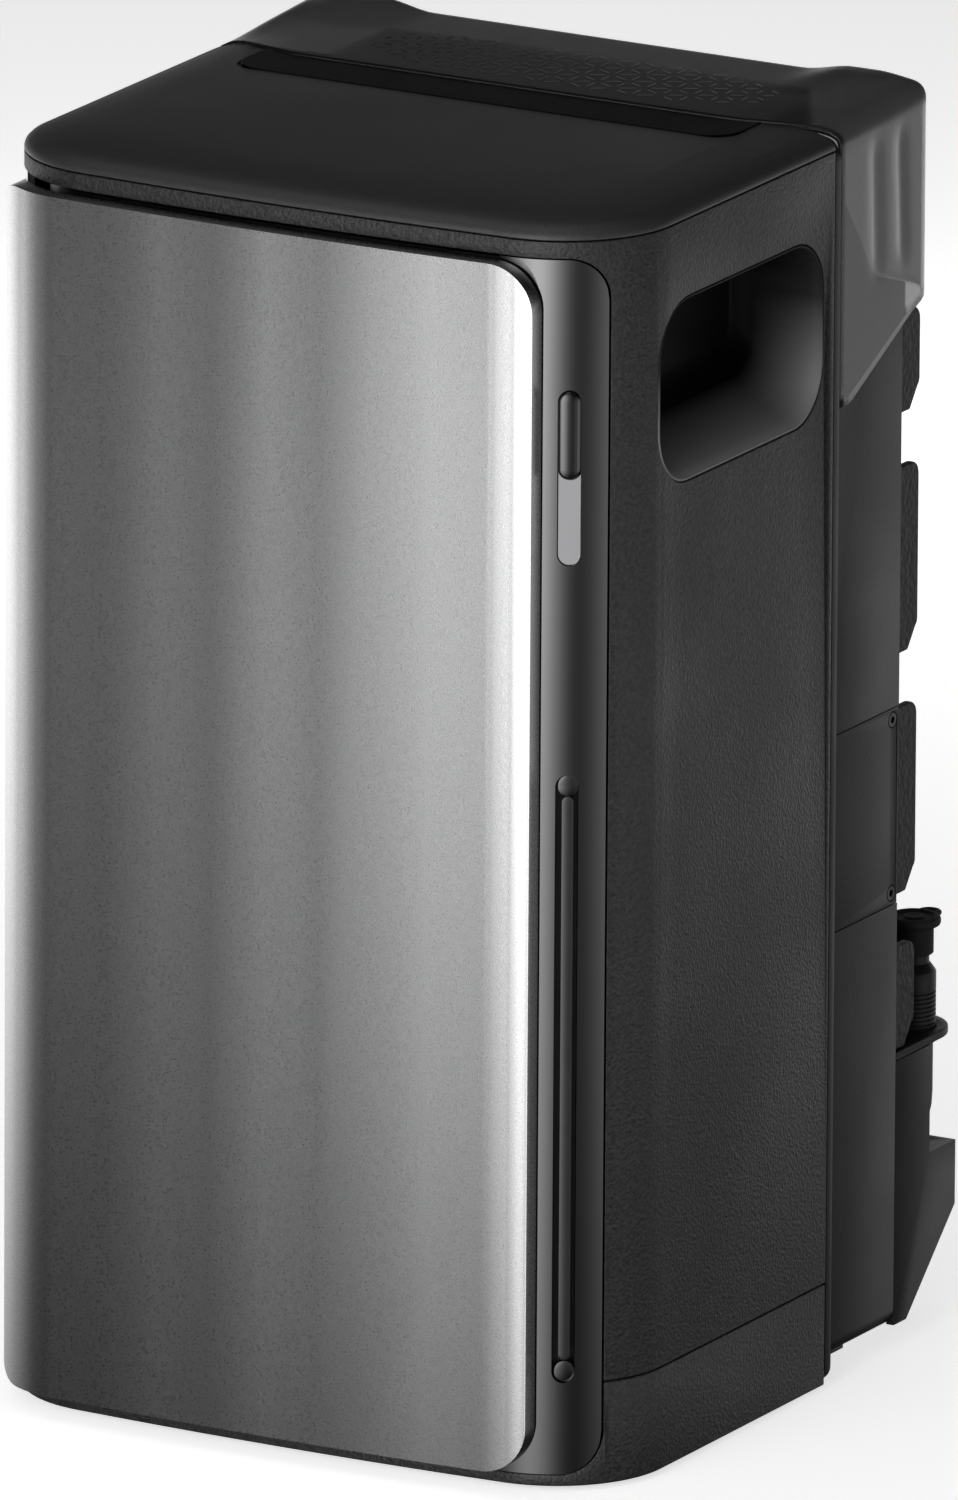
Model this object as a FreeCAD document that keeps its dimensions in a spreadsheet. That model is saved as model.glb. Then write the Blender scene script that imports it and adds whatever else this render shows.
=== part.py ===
"""Free-standing home battery unit: a bowed upright case with a proud aluminium front, carrying recesses,
a cast rear housing with cooling fins, a lift-off rain hood and solar connectors on a rear shelf.

Frame: millimetres, +Z up, origin at the bottom centre, front towards -Y.
"""

import FreeCAD, Part
import Sketcher
import math
import os

from FreeCAD import Rotation, Vector

doc = FreeCAD.newDocument("home_battery")
sheet = doc.addObject("Spreadsheet::Sheet", "Sizes")

DRIVING_SIZES = [
    ("width", 250, "overall width"),
    ("depth", 277, "overall depth, front panel to shelf tip"),
    ("height", 459, "overall height"),
    ("panel_proud", 8, "front panel in front of the case"),
    ("front_bow", 1500, "plan radius of the bowed front"),
    ("corner_radius", 42, "plan radius of the front corners"),
    ("wall", 3, "case wall"),
    ("seam_gap", 0.6, "shadow gap between case mouldings"),
    ("fit_gap", 0.3, "clearance between neighbouring pieces"),
    ("rear_seam", 31.5, "Y of the rear end of the case"),
    ("flange_depth", 5, "thickness of the flange behind the case"),
    ("housing_depth", 51, "depth of the rear housing"),
    ("housing_inset", 3.5, "rear housing side inside the case side"),
    ("housing_wall", 4, "wall of the cast rear housing"),
    ("housing_bottom", 8.5, "underside of the rear housing"),
    ("lid_seam", 448, "height of the seam under the lid"),
    ("lid_shoulder", 7.5, "rise of the lid above its seam"),
    ("shoulder_width", 40, "width of the lid's soft shoulder"),
    ("base_height", 39, "height of the seam above the base collar"),
    ("foot_height", 2, "rubber foot height"),
    ("foot_radius", 9, "rubber foot radius"),
    ("plate_thickness", 3, "base plate thickness"),
    ("recess_bottom", 6.5, "bottom of the front recess"),
    ("recess_top", 441.5, "top of the front recess"),
    ("recess_depth", 9, "depth of the front recess, outside to carrier"),
    ("carrier_thickness", 2.5, "front carrier thickness"),
    ("panel_clear", 27, "front panel's right edge in from the case side"),
    ("panel_return", 40, "depth from the panel's crown to its wrapped left end"),
    ("panel_turn", 36, "plan radius of the panel's left corner"),
    ("panel_skin", 2.5, "front panel sheet"),
    ("panel_rim", 6.5, "depth of the panel's folded rim"),
    ("panel_corner", 17, "elevation radius of the panel's corners"),
    ("panel_roll", 2.2, "rolled edge of the panel"),
    ("strip_tuck", 20, "how far the strip's room runs in behind the front panel"),
    ("strip_angle", 38, "bearing of the gloss strip's right edge from the side"),
    ("strip_corner", 15, "corner radius of the gloss strip"),
    ("strip_thickness", 2.5, "gloss strip thickness"),
    ("strip_hidden", 55, "gloss strip's edge behind the panel, in from the case side"),
    ("control_angle", 57, "bearing of the button and light bar from the side"),
    ("button_width", 8, "power button width"),
    ("button_top", 395, "top of the power button"),
    ("button_bottom", 363.5, "bottom of the power button"),
    ("button_travel", 1.5, "power button travel"),
    ("button_proud", 1.7, "power button in front of the gloss strip"),
    ("tag_bottom", 333, "bottom of the trim tag"),
    ("bar_top", 258, "top of the light bar slot"),
    ("bar_bottom", 39.5, "bottom of the light bar slot"),
    ("bar_end", 8, "length of each light bar socket"),
    ("bar_width", 4, "light bar rod width"),
    ("handle_front", -93, "front end of the carrying recess"),
    ("handle_rear", 24.5, "rear end of the carrying recess"),
    ("handle_bottom", 354, "bottom of the carrying recess"),
    ("handle_top", 420.5, "top of the carrying recess"),
    ("handle_corner", 21, "corner radius of the carrying recess"),
    ("handle_depth", 32, "depth of the carrying recess"),
    ("handle_wall", 2.5, "wall of the carrying cup"),
    ("handle_nose", 12, "slope of the scoop's front wall"),
    ("handle_tail", 10, "slope of the scoop's rear wall"),
    ("handle_roof", 6, "rise of the scoop's roof behind the mouth"),
    ("handle_lift", 27, "rise of the carrying cup's floor"),
    ("fin_length", 16, "cooling fin behind the housing"),
    ("fin_thickness", 3, "cooling fin thickness"),
    ("fin_inset", 1.5, "outer fin inside the housing side"),
    ("fin_web", 2.5, "web that joins the fins"),
    ("fin_count", 15, "fins in a row"),
    ("fin_corner", 7, "rounded corner of a fin"),
    ("fin_slope", 4.2, "rise of a fin's sloping lower edge"),
    ("fin_nick", 4.9, "bevel of a fin's upper rear corner"),
    ("cover_bottom", 163, "bottom of the side cover"),
    ("cover_top", 235, "top of the side cover"),
    ("cover_thickness", 1.6, "side cover thickness"),
    ("screw_radius", 2.6, "cover screw head radius"),
    ("hood_wall", 2.4, "rain hood wall"),
    ("hood_corner", 9, "upright rear corner radius of the hood"),
    ("hood_ear", 2, "rise of the raised ear over each rear corner of the hood"),
    ("hood_ear_inner", 78, "inner foot of a hood ear from the centre"),
    ("hood_ear_outer", 118, "outer foot of a hood ear from the centre"),
    ("hood_ear_slope", 12, "run of an ear's sloping sides"),
    ("hood_ear_depth", 26, "front to rear run of a hood ear"),
    ("hood_play", 0.8, "space between hood and housing"),
    ("hood_rear", 104, "Y of the hood's rear face"),
    ("hood_low", 354.5, "lowest point of the hood's side"),
    ("hood_tail", 383.5, "lower edge of the hood's rear face"),
    ("hood_rise", 6.5, "rise of the hood's lower edge behind the housing"),
    ("hood_front", 24, "Y of the hood's front edge on the lid"),
    ("shelf_bottom", 105, "underside of the connector shelf"),
    ("shelf_thickness", 3, "connector shelf thickness"),
    ("shelf_corner", 17, "rear corner radius of the connector shelf"),
    ("connector_setback", 15.5, "connector row in front of the shelf tip"),
    ("connector_outer", 109, "X of the outer connectors"),
    ("connector_pitch", 30, "X pitch of a connector pair"),
    ("connector_radius", 8, "connector body radius"),
    ("connector_top", 131, "top of the connector body"),
    ("connector_end", 73, "bottom of the connector"),
    ("neck_radius", 5.5, "connector neck radius"),
    ("cap_radius", 9.5, "dust cap disc radius"),
    ("cap_top", 148, "top of the dust cap disc"),
    ("cap_disc", 3.5, "dust cap disc thickness"),
    ("cap_stem", 7, "dust cap stem radius"),
    ("bracket_top", 65.5, "top of the cable bracket's ledge"),
    ("bracket_setback", 6.5, "cable bracket's rear face in front of the shelf tip"),
    ("bracket_step", 42, "height where the bracket starts to slope in"),
    ("bracket_cheek", 25.2, "depth of the bracket's cheek below the shelf"),
    ("bracket_wall", 3, "cable bracket wall"),
    ("cable_hole", 6, "radius of a cable hole in the bracket"),
    ("shoulder_inner", 84, "half width of the tall middle of the housing, which carries the outlets"),
    ("shoulder_high", 431, "height where the housing's cut-down shoulder starts, at its front"),
    ("shoulder_knee", 395, "height of the shoulder's knee"),
    ("shoulder_knee_in", 22, "distance of the knee from the housing's rear"),
    ("shoulder_low", 387, "height of the shoulder at the housing's rear"),
    ("outlet_x", 52, "X of the mains outlets"),
    ("outlet_z", 416, "height of the mains outlets"),
    ("outlet_radius", 23, "mains outlet flange radius"),
    ("outlet_bore", 19.5, "mains outlet recess radius"),
    ("outlet_depth", 16, "mains outlet recess depth"),
    ("display_left", -100, "left end of the display strip"),
    ("display_right", 98, "right end of the display strip"),
    ("display_front", 1.5, "front edge of the display strip"),
    ("display_thickness", 1.2, "display strip thickness"),
    ("cell_width", 104, "battery cell, X"),
    ("cell_depth", 118, "battery cell, Y"),
    ("cell_height", 27, "battery cell, Z"),
    ("cell_rows", 8, "cells in a stack"),
    ("cell_gap", 1.5, "space between cells"),
    ("cell_front", -97.5, "Y of the front of the cells"),
    ("tray_wall", 2, "battery tray wall"),
    ("end_plate", 5, "cell clamp plate thickness"),
    ("board_thickness", 1.6, "circuit board thickness"),
    ("display_corner", 9, "corner radius of the display strip"),
    ("display_proud", 0.2, "display strip above the lid"),
    ("grip_length", 44, "ribbed grip length"),
    ("grip_ribs", 11, "ribs in a grip"),
    ("grip_rib", 1, "height of a grip rib"),
    ("flange_web", 9, "width of the rear flange's frame"),
    ("corner_small", 6, "corner radius of the flange and housing"),
    ("gasket", 0.8, "gasket thickness"),
    ("housing_top", 450, "top of the rear housing"),
    ("cover_screw_edge", 4.5, "cover screw to cover edge"),
    ("fin_top_low", 339.5, "bottom of the top fins"),
    ("fin_top_high", 376, "top of the top fins"),
    ("fin_upper_low", 252.5, "bottom of the upper fins"),
    ("fin_upper_high", 320, "top of the upper fins"),
    ("fin_lower_low", 165, "bottom of the lower fins"),
    ("fin_lower_high", 233, "top of the lower fins"),
    ("fin_bottom_high", 146, "top of the bottom fins"),
    ("outlet_lip", 2, "mains outlet flange thickness and overlap"),
    ("outlet_pin", 2.6, "mains outlet pin hole radius"),
    ("outlet_pin_spacing", 19, "spacing of the mains outlet's pin holes"),
    ("bracket_foot", 9.2, "depth of the bracket at the foot of its slope"),
    ("cap_tab", 4.5, "dust cap ring tab radius"),
    ("cap_tab_hole", 2.5, "radius of the hole in the cap's ring tab"),
    ("foot_x", 98, "X of the rubber feet"),
    ("base_screw_x", 58.8, "base screws from the centre"),
    ("base_screw_radius", 3.9, "radius of a base screw's head"),
    ("tray_leg_x", 78.4, "tray legs from the centre"),
    ("foot_front", -92, "Y of the front feet"),
    ("foot_rear", 20, "Y of the rear feet"),
    ("cell_lift", 12, "battery tray above the base plate"),
    ("busbar", 2, "busbar thickness"),
    ("busbar_width", 20.8, "width of a busbar"),
    ("busbar_edge", 15.6, "busbar from the edge of its cell"),
    ("tray_leg", 6, "half width of a tray leg"),
    ("tie_radius", 2.5, "tie rod radius"),
    ("standoff", 8, "circuit board standoff height"),
    ("board_margin", 16, "battery board's edge from the edge of its tray"),
    ("board_low", 30, "bottom of the inverter board"),
    ("board_high", 372, "top of the inverter board"),
    ("module_depth", 7, "power module thickness"),
    ("module_width", 34, "power module width"),
    ("module_count", 4, "power modules in a column"),
    ("pad_thickness", 1, "thermal pad thickness"),
    ("can_radius", 9, "capacitor radius"),
    ("coil_radius", 14, "inductor mean radius"),
    ("coil_wire", 5.6, "radius of an inductor's wound ring"),
    ("coil_x", -49, "inductors from the centre"),
    ("can_x", 76, "capacitors from the centre"),
]


class Size:
    """A length: its value in millimetres and the sheet expression that gives it."""

    def __init__(self, value, text):
        self.value = float(value)
        self.text = text

    def __add__(self, other):
        other = as_size(other)
        return Size(self.value + other.value, f"({self.text} + {other.text})")

    def __sub__(self, other):
        other = as_size(other)
        return Size(self.value - other.value, f"({self.text} - {other.text})")

    def __mul__(self, factor):
        factor = as_size(factor)
        return Size(self.value * factor.value, f"({self.text} * {factor.text})")

    def __truediv__(self, factor):
        factor = as_size(factor)
        return Size(self.value / factor.value, f"({self.text} / {factor.text})")

    def __neg__(self):
        return Size(-self.value, f"(0 - {self.text})")

    def __radd__(self, other):
        return as_size(other) + self

    def __rmul__(self, other):
        return as_size(other) * self

    def __rsub__(self, other):
        return as_size(other) - self


def as_size(value):
    """A plain number as a Size."""
    if isinstance(value, Size):
        return value
    return Size(value, f"({float(value)})")


def turned(size, function, name):
    """A trigonometric function of an angle in degrees."""
    return Size(function(math.radians(size.value)), f"{name}({size.text} * 1 deg)")


class Sheet:
    """The driving sizes by name."""

    def __init__(self, rows):
        for row, (name, value, note) in enumerate(rows, start=1):
            sheet.set(f"A{row}", note)
            sheet.set(f"B{row}", str(value))
            sheet.setAlias(f"B{row}", name)
            setattr(self, name, Size(value, f"Sizes.{name}"))


s = Sheet(DRIVING_SIZES)
doc.recompute()

# Places that many pieces share.
half_width = s.width / 2
case_front = s.panel_proud - s.depth / 2
panel_right = half_width - s.panel_clear
connector_y = s.depth / 2 - s.connector_setback
lid_top = s.lid_seam + s.lid_shoulder
flange_rear = s.rear_seam + s.flange_depth
housing_rear = flange_rear + s.housing_depth
housing_half = half_width - s.housing_inset
fin_rear = housing_rear + s.fin_length
hood_top = s.height - s.hood_ear
shelf_top = s.shelf_bottom + s.shelf_thickness
corner_x = half_width - s.corner_radius
reach = s.width

# Flat left between the two round corners of a pill end.
END_FLAT = 0.05

nodes = []


def node(item, label):
    """Names a finished sub-part; its label names its file."""
    item.Label = label
    nodes.append(item)
    return item


def bind(item, path, size):
    item.setExpression(path, as_size(size).text)


def place(item, x=0, y=0, z=0, rotation=None):
    """Sets a fixed turn and a position bound to the sheet."""
    if rotation is not None:
        item.Placement = FreeCAD.Placement(Vector(), rotation)
    for axis, size in zip("xyz", (x, y, z)):
        bind(item, f"Placement.Base.{axis}", size)
    return item


def box(name, x, y, z):
    """A block between the low and high X, Y and Z."""
    item = doc.addObject("Part::Box", name)
    for path, (low, high) in zip(("Length", "Width", "Height"), (x, y, z)):
        bind(item, path, as_size(high) - low)
    return place(item, x[0], y[0], z[0])


UPRIGHT = Rotation()
ALONG_Y = Rotation(Vector(1, 0, 0), -90)
ALONG_X = Rotation(Vector(0, 1, 0), 90)


def rod(name, radius, length, x, y, z, rotation=UPRIGHT):
    """A cylinder from its start point along +Z, or along the turned axis."""
    item = doc.addObject("Part::Cylinder", name)
    bind(item, "Radius", radius)
    bind(item, "Height", length)
    return place(item, x, y, z, rotation)


def fuse(name, items):
    item = doc.addObject("Part::MultiFuse", name)
    item.Shapes = items
    return item


def group(name, items):
    """Separate solids that share a node."""
    item = doc.addObject("Part::Compound", name)
    item.Links = items
    return item


def cut(name, base, tools):
    item = doc.addObject("Part::Cut", name)
    item.Base = base
    item.Tool = tools[0] if len(tools) == 1 else fuse(name + "_tools", tools)
    return item


def common(name, items):
    item = doc.addObject("Part::MultiCommon", name)
    item.Shapes = items
    return item


def measure(sketch, kind, refs, size):
    """A dimension bound to the sheet."""
    size = as_size(size)
    index = sketch.addConstraint(Sketcher.Constraint(kind, *refs, size.value))
    sketch.setExpression(f"Constraints[{index}]", size.text)


def polygon(sketch, points):
    """A closed outline of straight lines through points of bound coordinates."""
    ends = [Vector(as_size(x).value, as_size(y).value, 0) for x, y in points]
    first = sketch.GeometryCount
    count = len(ends)
    for i in range(count):
        sketch.addGeometry(Part.LineSegment(ends[i], ends[(i + 1) % count]), False)
    for i in range(count):
        sketch.addConstraint(Sketcher.Constraint("Coincident", first + i, 2, first + (i + 1) % count, 1))
        measure(sketch, "DistanceX", (-1, 1, first + i, 1), points[i][0])
        measure(sketch, "DistanceY", (-1, 1, first + i, 1), points[i][1])


def rounded(sketch, x, y, radius):
    """A rectangle between low and high x and y with four equal round corners."""
    (x0, x1), (y0, y1) = [[as_size(end) for end in pair] for pair in (x, y)]
    r = as_size(radius)
    centres = [(x1 - r, y0 + r), (x1 - r, y1 - r), (x0 + r, y1 - r), (x0 + r, y0 + r)]
    corners = []
    for i, (cx, cy) in enumerate(centres):
        start = math.radians(90 * i - 90)
        circle = Part.Circle(Vector(cx.value, cy.value, 0), Vector(0, 0, 1), r.value)
        corners.append(Part.ArcOfCircle(circle, start, start + math.pi / 2))
    first = sketch.GeometryCount
    for i, corner in enumerate(corners):
        sketch.addGeometry(corner, False)
        sketch.addGeometry(Part.LineSegment(corner.EndPoint, corners[(i + 1) % 4].StartPoint), False)
    for i in range(4):
        arc, line, following = first + 2 * i, first + 2 * i + 1, first + (2 * i + 2) % 8
        sketch.addConstraint(Sketcher.Constraint("Tangent", arc, 2, line, 1))
        sketch.addConstraint(Sketcher.Constraint("Tangent", line, 2, following, 1))
        if i < 3:
            sketch.addConstraint(Sketcher.Constraint("Equal", arc, following))
    sketch.addConstraint(Sketcher.Constraint("Vertical", first + 1))
    sketch.addConstraint(Sketcher.Constraint("Horizontal", first + 3))
    measure(sketch, "Radius", (first,), r)
    measure(sketch, "DistanceX", (-1, 1, first + 1, 1), x1)
    measure(sketch, "DistanceX", (-1, 1, first + 5, 1), x0)
    measure(sketch, "DistanceY", (-1, 1, first + 3, 1), y1)
    measure(sketch, "DistanceY", (-1, 1, first + 7, 1), y0)


def plan_outline(sketch, front, back, half, corner, bow):
    """The case in plan: bowed front, two round front corners, straight sides and back."""
    front, back, half, corner, bow = [as_size(v) for v in (front, back, half, corner, bow)]
    centre_y = front + bow
    lean = math.asin((half.value - corner.value) / (bow.value - corner.value))
    corner_y = centre_y.value - (bow.value - corner.value) * math.cos(lean)
    up = Vector(0, 0, 1)
    bow_arc = Part.ArcOfCircle(
        Part.Circle(Vector(0, centre_y.value, 0), up, bow.value),
        -math.pi / 2 - lean,
        -math.pi / 2 + lean,
    )
    right = Part.Circle(Vector(half.value - corner.value, corner_y, 0), up, corner.value)
    left = Part.Circle(Vector(corner.value - half.value, corner_y, 0), up, corner.value)
    right_arc = Part.ArcOfCircle(right, -math.pi / 2 + lean, 0)
    left_arc = Part.ArcOfCircle(left, math.pi, 1.5 * math.pi - lean)
    rear_right = Vector(half.value, back.value, 0)
    rear_left = Vector(-half.value, back.value, 0)
    for piece in (
        bow_arc,
        right_arc,
        Part.LineSegment(right_arc.EndPoint, rear_right),
        Part.LineSegment(rear_right, rear_left),
        Part.LineSegment(rear_left, left_arc.StartPoint),
        left_arc,
    ):
        sketch.addGeometry(piece, False)
    for relation in (
        ("Tangent", 0, 2, 1, 1),
        ("Tangent", 1, 2, 2, 1),
        ("Coincident", 2, 2, 3, 1),
        ("Coincident", 3, 2, 4, 1),
        ("Tangent", 4, 2, 5, 1),
        ("Tangent", 5, 2, 0, 1),
        ("Vertical", 2),
        ("Vertical", 4),
        ("Equal", 1, 5),
        ("PointOnObject", 0, 3, -2),
        ("Symmetric", 4, 1, 2, 2, -2),
    ):
        sketch.addConstraint(Sketcher.Constraint(*relation))
    measure(sketch, "Radius", (1,), corner)
    measure(sketch, "Radius", (0,), bow)
    measure(sketch, "DistanceX", (4, 1, 2, 2), half * 2)
    measure(sketch, "DistanceY", (-1, 1, 3, 1), back)
    measure(sketch, "DistanceY", (-1, 1, 0, 3), centre_y)


def free_sketch(name, draw, *args):
    """A sketch in the XY plane that stands outside any body."""
    item = doc.addObject("Sketcher::SketchObject", name)
    draw(item, *args)
    return item


def swept(name, profile, length, direction=Vector(0, 0, 1)):
    """A solid pulled from a flat profile."""
    item = doc.addObject("Part::Extrusion", name)
    item.Base = profile
    item.DirMode = "Custom"
    item.Dir = direction
    item.Solid = True
    bind(item, "LengthFwd", length)
    return item


def plan_solid(name, inset, back, z):
    """The case outline, moved in by an inset, as a solid between two heights."""
    inset = as_size(inset)
    outline = free_sketch(
        name + "_outline",
        plan_outline,
        case_front + inset,
        back,
        half_width - inset,
        s.corner_radius - inset,
        s.front_bow - inset,
    )
    place(outline, z=z[0])
    return swept(name, outline, as_size(z[1]) - z[0])


ELEVATION = Rotation(Vector(1, 0, 0), 90)
SIDE = Rotation(Vector(1, 1, 1), 120)


def elevation_solid(name, x, z, radius, y):
    """A round-cornered block seen from the front, between two Y."""
    outline = free_sketch(name + "_outline", rounded, x, z, radius)
    place(outline, y=y[0], rotation=ELEVATION)
    return swept(name, outline, as_size(y[1]) - y[0], Vector(0, 1, 0))


def side_solid(name, points, x):
    """A solid whose side view is a polygon of Y and Z points, between two X."""
    outline = free_sketch(name + "_outline", polygon, points)
    place(outline, x=x[0], rotation=SIDE)
    return swept(name, outline, as_size(x[1]) - x[0], Vector(1, 0, 0))


def side_round(name, y, z, radius, x):
    """A round-cornered block seen from the side, between two X."""
    outline = free_sketch(name + "_outline", rounded, y, z, radius)
    place(outline, x=x[0], rotation=SIDE)
    return swept(name, outline, as_size(x[1]) - x[0], Vector(1, 0, 0))


def new_body(label):
    body = doc.addObject("PartDesign::Body", label + "_body")
    return node(body, label)


def body_sketch(body, name, role, offset, draw, *args):
    """A sketch on one of the body's own origin planes, moved along the plane's normal."""
    plane = next(item for item in body.Origin.OriginFeatures if item.Role == role)
    item = body.newObject("Sketcher::SketchObject", name)
    item.AttachmentSupport = [(plane, "")]
    item.MapMode = "FlatFace"
    draw(item, *args)
    bind(item, "AttachmentOffset.Base.z", offset)
    return item


def pad(body, name, sketch, length):
    item = body.newObject("PartDesign::Pad", name)
    item.Profile = sketch
    bind(item, "Length", length)
    body.Tip = item
    return item


def turned_body(label, points, x=0, y=0, z=0):
    """A body turned about its own Z axis from a polygon of radius and height."""
    body = new_body(label)
    sketch = body_sketch(body, label + "_profile", "XZ_Plane", 0, polygon, points)
    item = body.newObject("PartDesign::Revolution", label + "_turned")
    item.Profile = sketch
    item.ReferenceAxis = (sketch, ["V_Axis"])
    item.Angle = 360
    body.Tip = item
    place(body, x, y, z)
    return body


def at_bearing(angle, radius):
    """X and Y of a point on the right front corner, by its bearing forward of the side."""
    return (
        corner_x + turned(angle, math.cos, "cos") * radius,
        corner_y_place - turned(angle, math.sin, "sin") * radius,
    )


# The right front corner's centre, where the bowed front meets the corner.
corner_run = s.front_bow - s.corner_radius
corner_drop = Size(
    math.sqrt(corner_run.value ** 2 - corner_x.value ** 2),
    f"sqrt({corner_run.text} * {corner_run.text} - {corner_x.text} * {corner_x.text})",
)
corner_y_place = case_front + s.front_bow - corner_drop


def strip_block(name, low, high, half, radius, near, far):
    """A round-cornered block that looks along the control bearing, between two radii."""
    outline = free_sketch(name + "_outline", rounded, half, (low, high), radius)
    turn = Rotation(Vector(0, 0, 1), 90 - s.control_angle.value).multiply(ELEVATION)
    start_x, start_y = at_bearing(s.control_angle, near)
    place(outline, start_x, start_y, 0, turn)
    angle = math.radians(s.control_angle.value)
    return swept(name, outline, as_size(far) - near, Vector(math.cos(angle), -math.sin(angle), 0))


# Half-chord of the gloss strip about the control bearing.
strip_half = turned(s.control_angle - s.strip_angle, math.sin, "sin") * s.corner_radius


def front_recess(name, gap):
    """The room cut in the case for the front panel and the gloss strip."""
    low, high = s.recess_bottom - gap, s.recess_top + gap
    panel_room = box(
        name + "_panel",
        (-reach, panel_right),
        (case_front - s.recess_depth, case_front + s.panel_return - s.panel_proud + gap),
        (low, high),
    )
    strip_room = strip_block(
        name + "_strip",
        low,
        high,
        (-strip_half - s.strip_tuck, strip_half + gap),
        s.strip_corner,
        s.corner_radius - s.recess_depth,
        s.corner_radius + s.recess_depth,
    )
    return [panel_room, strip_room]


def handle_loft(name, grow, mouth, floor):
    """The scooped carrying recess, grown by a wall, between two X on the right side."""
    grow = as_size(grow)
    outer = free_sketch(
        name + "_mouth",
        rounded,
        (s.handle_front - grow, s.handle_rear + grow),
        (s.handle_bottom - grow, s.handle_top + grow),
        s.handle_corner + grow,
    )
    place(outer, x=mouth, rotation=SIDE)
    inner = free_sketch(
        name + "_floor",
        rounded,
        (s.handle_front + s.handle_nose - grow, s.handle_rear - s.handle_tail + grow),
        (s.handle_bottom + s.handle_lift - grow, s.handle_top + s.handle_roof + grow),
        s.handle_corner / 2 + grow,
    )
    place(inner, x=floor, rotation=SIDE)
    item = doc.addObject("Part::Loft", name)
    item.Sections = [outer, inner]
    item.Solid = True
    item.Ruled = True
    return item


def mirrored(name, source):
    """The same piece on the other side of the object."""
    item = doc.addObject("Part::Mirroring", name)
    item.Source = source
    item.Normal = Vector(1, 0, 0)
    return item


def plan_wall(name, outer, inner, back, z):
    """A wall that follows the case outline, open at the rear."""
    return cut(
        name,
        plan_solid(name + "_outside", outer, back, z),
        [plan_solid(name + "_inside", inner, back + s.wall, (z[0] - 1, z[1] + 1))],
    )


def make_case():
    """The wrapped case wall, the base collar under it and the carrier behind the front."""
    handle_hole = side_round(
        "handle_hole",
        (s.handle_front, s.handle_rear),
        (s.handle_bottom, s.handle_top),
        s.handle_corner,
        (-reach, reach),
    )
    shell_z = (s.base_height + s.seam_gap / 2, s.lid_seam - s.seam_gap / 2)
    shell_wall = plan_wall("shell_wall", 0, s.wall, s.rear_seam, shell_z)
    node(cut("shell", shell_wall, [handle_hole] + front_recess("shell_recess", s.fit_gap)), "outer_shell")
    collar_z = (s.foot_height, s.base_height - s.seam_gap / 2)
    collar_wall = plan_wall("collar_wall", 0, s.wall, s.rear_seam, collar_z)
    node(cut("collar", collar_wall, front_recess("collar_recess", s.fit_gap)), "base_collar")
    carrier_z = (s.recess_bottom + s.wall, s.recess_top - s.wall)
    carrier_wall = plan_wall(
        "carrier_wall",
        s.recess_depth,
        s.recess_depth + s.carrier_thickness,
        s.rear_seam,
        carrier_z,
    )
    carrier_room = box(
        "carrier_room",
        (-reach, panel_right - s.panel_rim),
        (-reach, s.handle_front - s.wall * 2),
        carrier_z,
    )
    node(common("carrier", [carrier_wall, carrier_room]), "front_carrier")
    plate = plan_solid(
        "base_plate_solid",
        s.wall + s.fit_gap,
        s.rear_seam - s.fit_gap,
        (s.foot_height, s.foot_height + s.plate_thickness),
    )
    node(plate, "base_plate")


# The lid's soft shoulder: parts of its width inward and of its rise.
LID_SHOULDER = [
    (0, 0),
    (0, 0.1),
    (0.012, 0.28),
    (0.045, 0.46),
    (0.11, 0.63),
    (0.22, 0.77),
    (0.4, 0.89),
    (0.65, 0.97),
    (1, 1),
]


def make_lid():
    """The crowned top lid, hollow below, with a shallow bed for the gloss display strip."""
    sections = []
    seam = s.lid_seam + s.seam_gap / 2
    for i, (run, rise) in enumerate(LID_SHOULDER):
        inset = s.shoulder_width * run
        outline = free_sketch(
            f"lid_section_{i}",
            plan_outline,
            case_front + inset,
            s.rear_seam,
            half_width - inset,
            s.corner_radius - inset,
            s.front_bow - inset,
        )
        place(outline, z=seam + (lid_top - seam) * rise)
        sections.append(outline)
    crown = doc.addObject("Part::Loft", "lid_crown")
    crown.Sections = sections
    crown.Solid = True
    crown.Ruled = True
    hollow_z = (seam - 1, lid_top - s.lid_shoulder / 2)
    hollow = plan_solid("lid_hollow", s.wall * 3, s.rear_seam - s.wall, hollow_z)
    bed = display_block("lid_bed", s.fit_gap, lid_top - s.display_thickness)
    node(cut("lid", crown, [hollow, bed]), "top_lid")
    node(display_block("display_window", 0, lid_top - s.display_thickness), "display_strip")


def display_block(name, gap, bottom):
    """The display strip's shape, grown sideways by a gap."""
    gap = as_size(gap)
    outline = free_sketch(
        name + "_outline",
        rounded,
        (s.display_left - gap, s.display_right + gap),
        (s.display_front - gap, s.hood_front - s.seam_gap + gap),
        s.display_corner,
    )
    place(outline, z=bottom)
    return swept(name, outline, s.display_thickness + s.display_proud)


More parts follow.
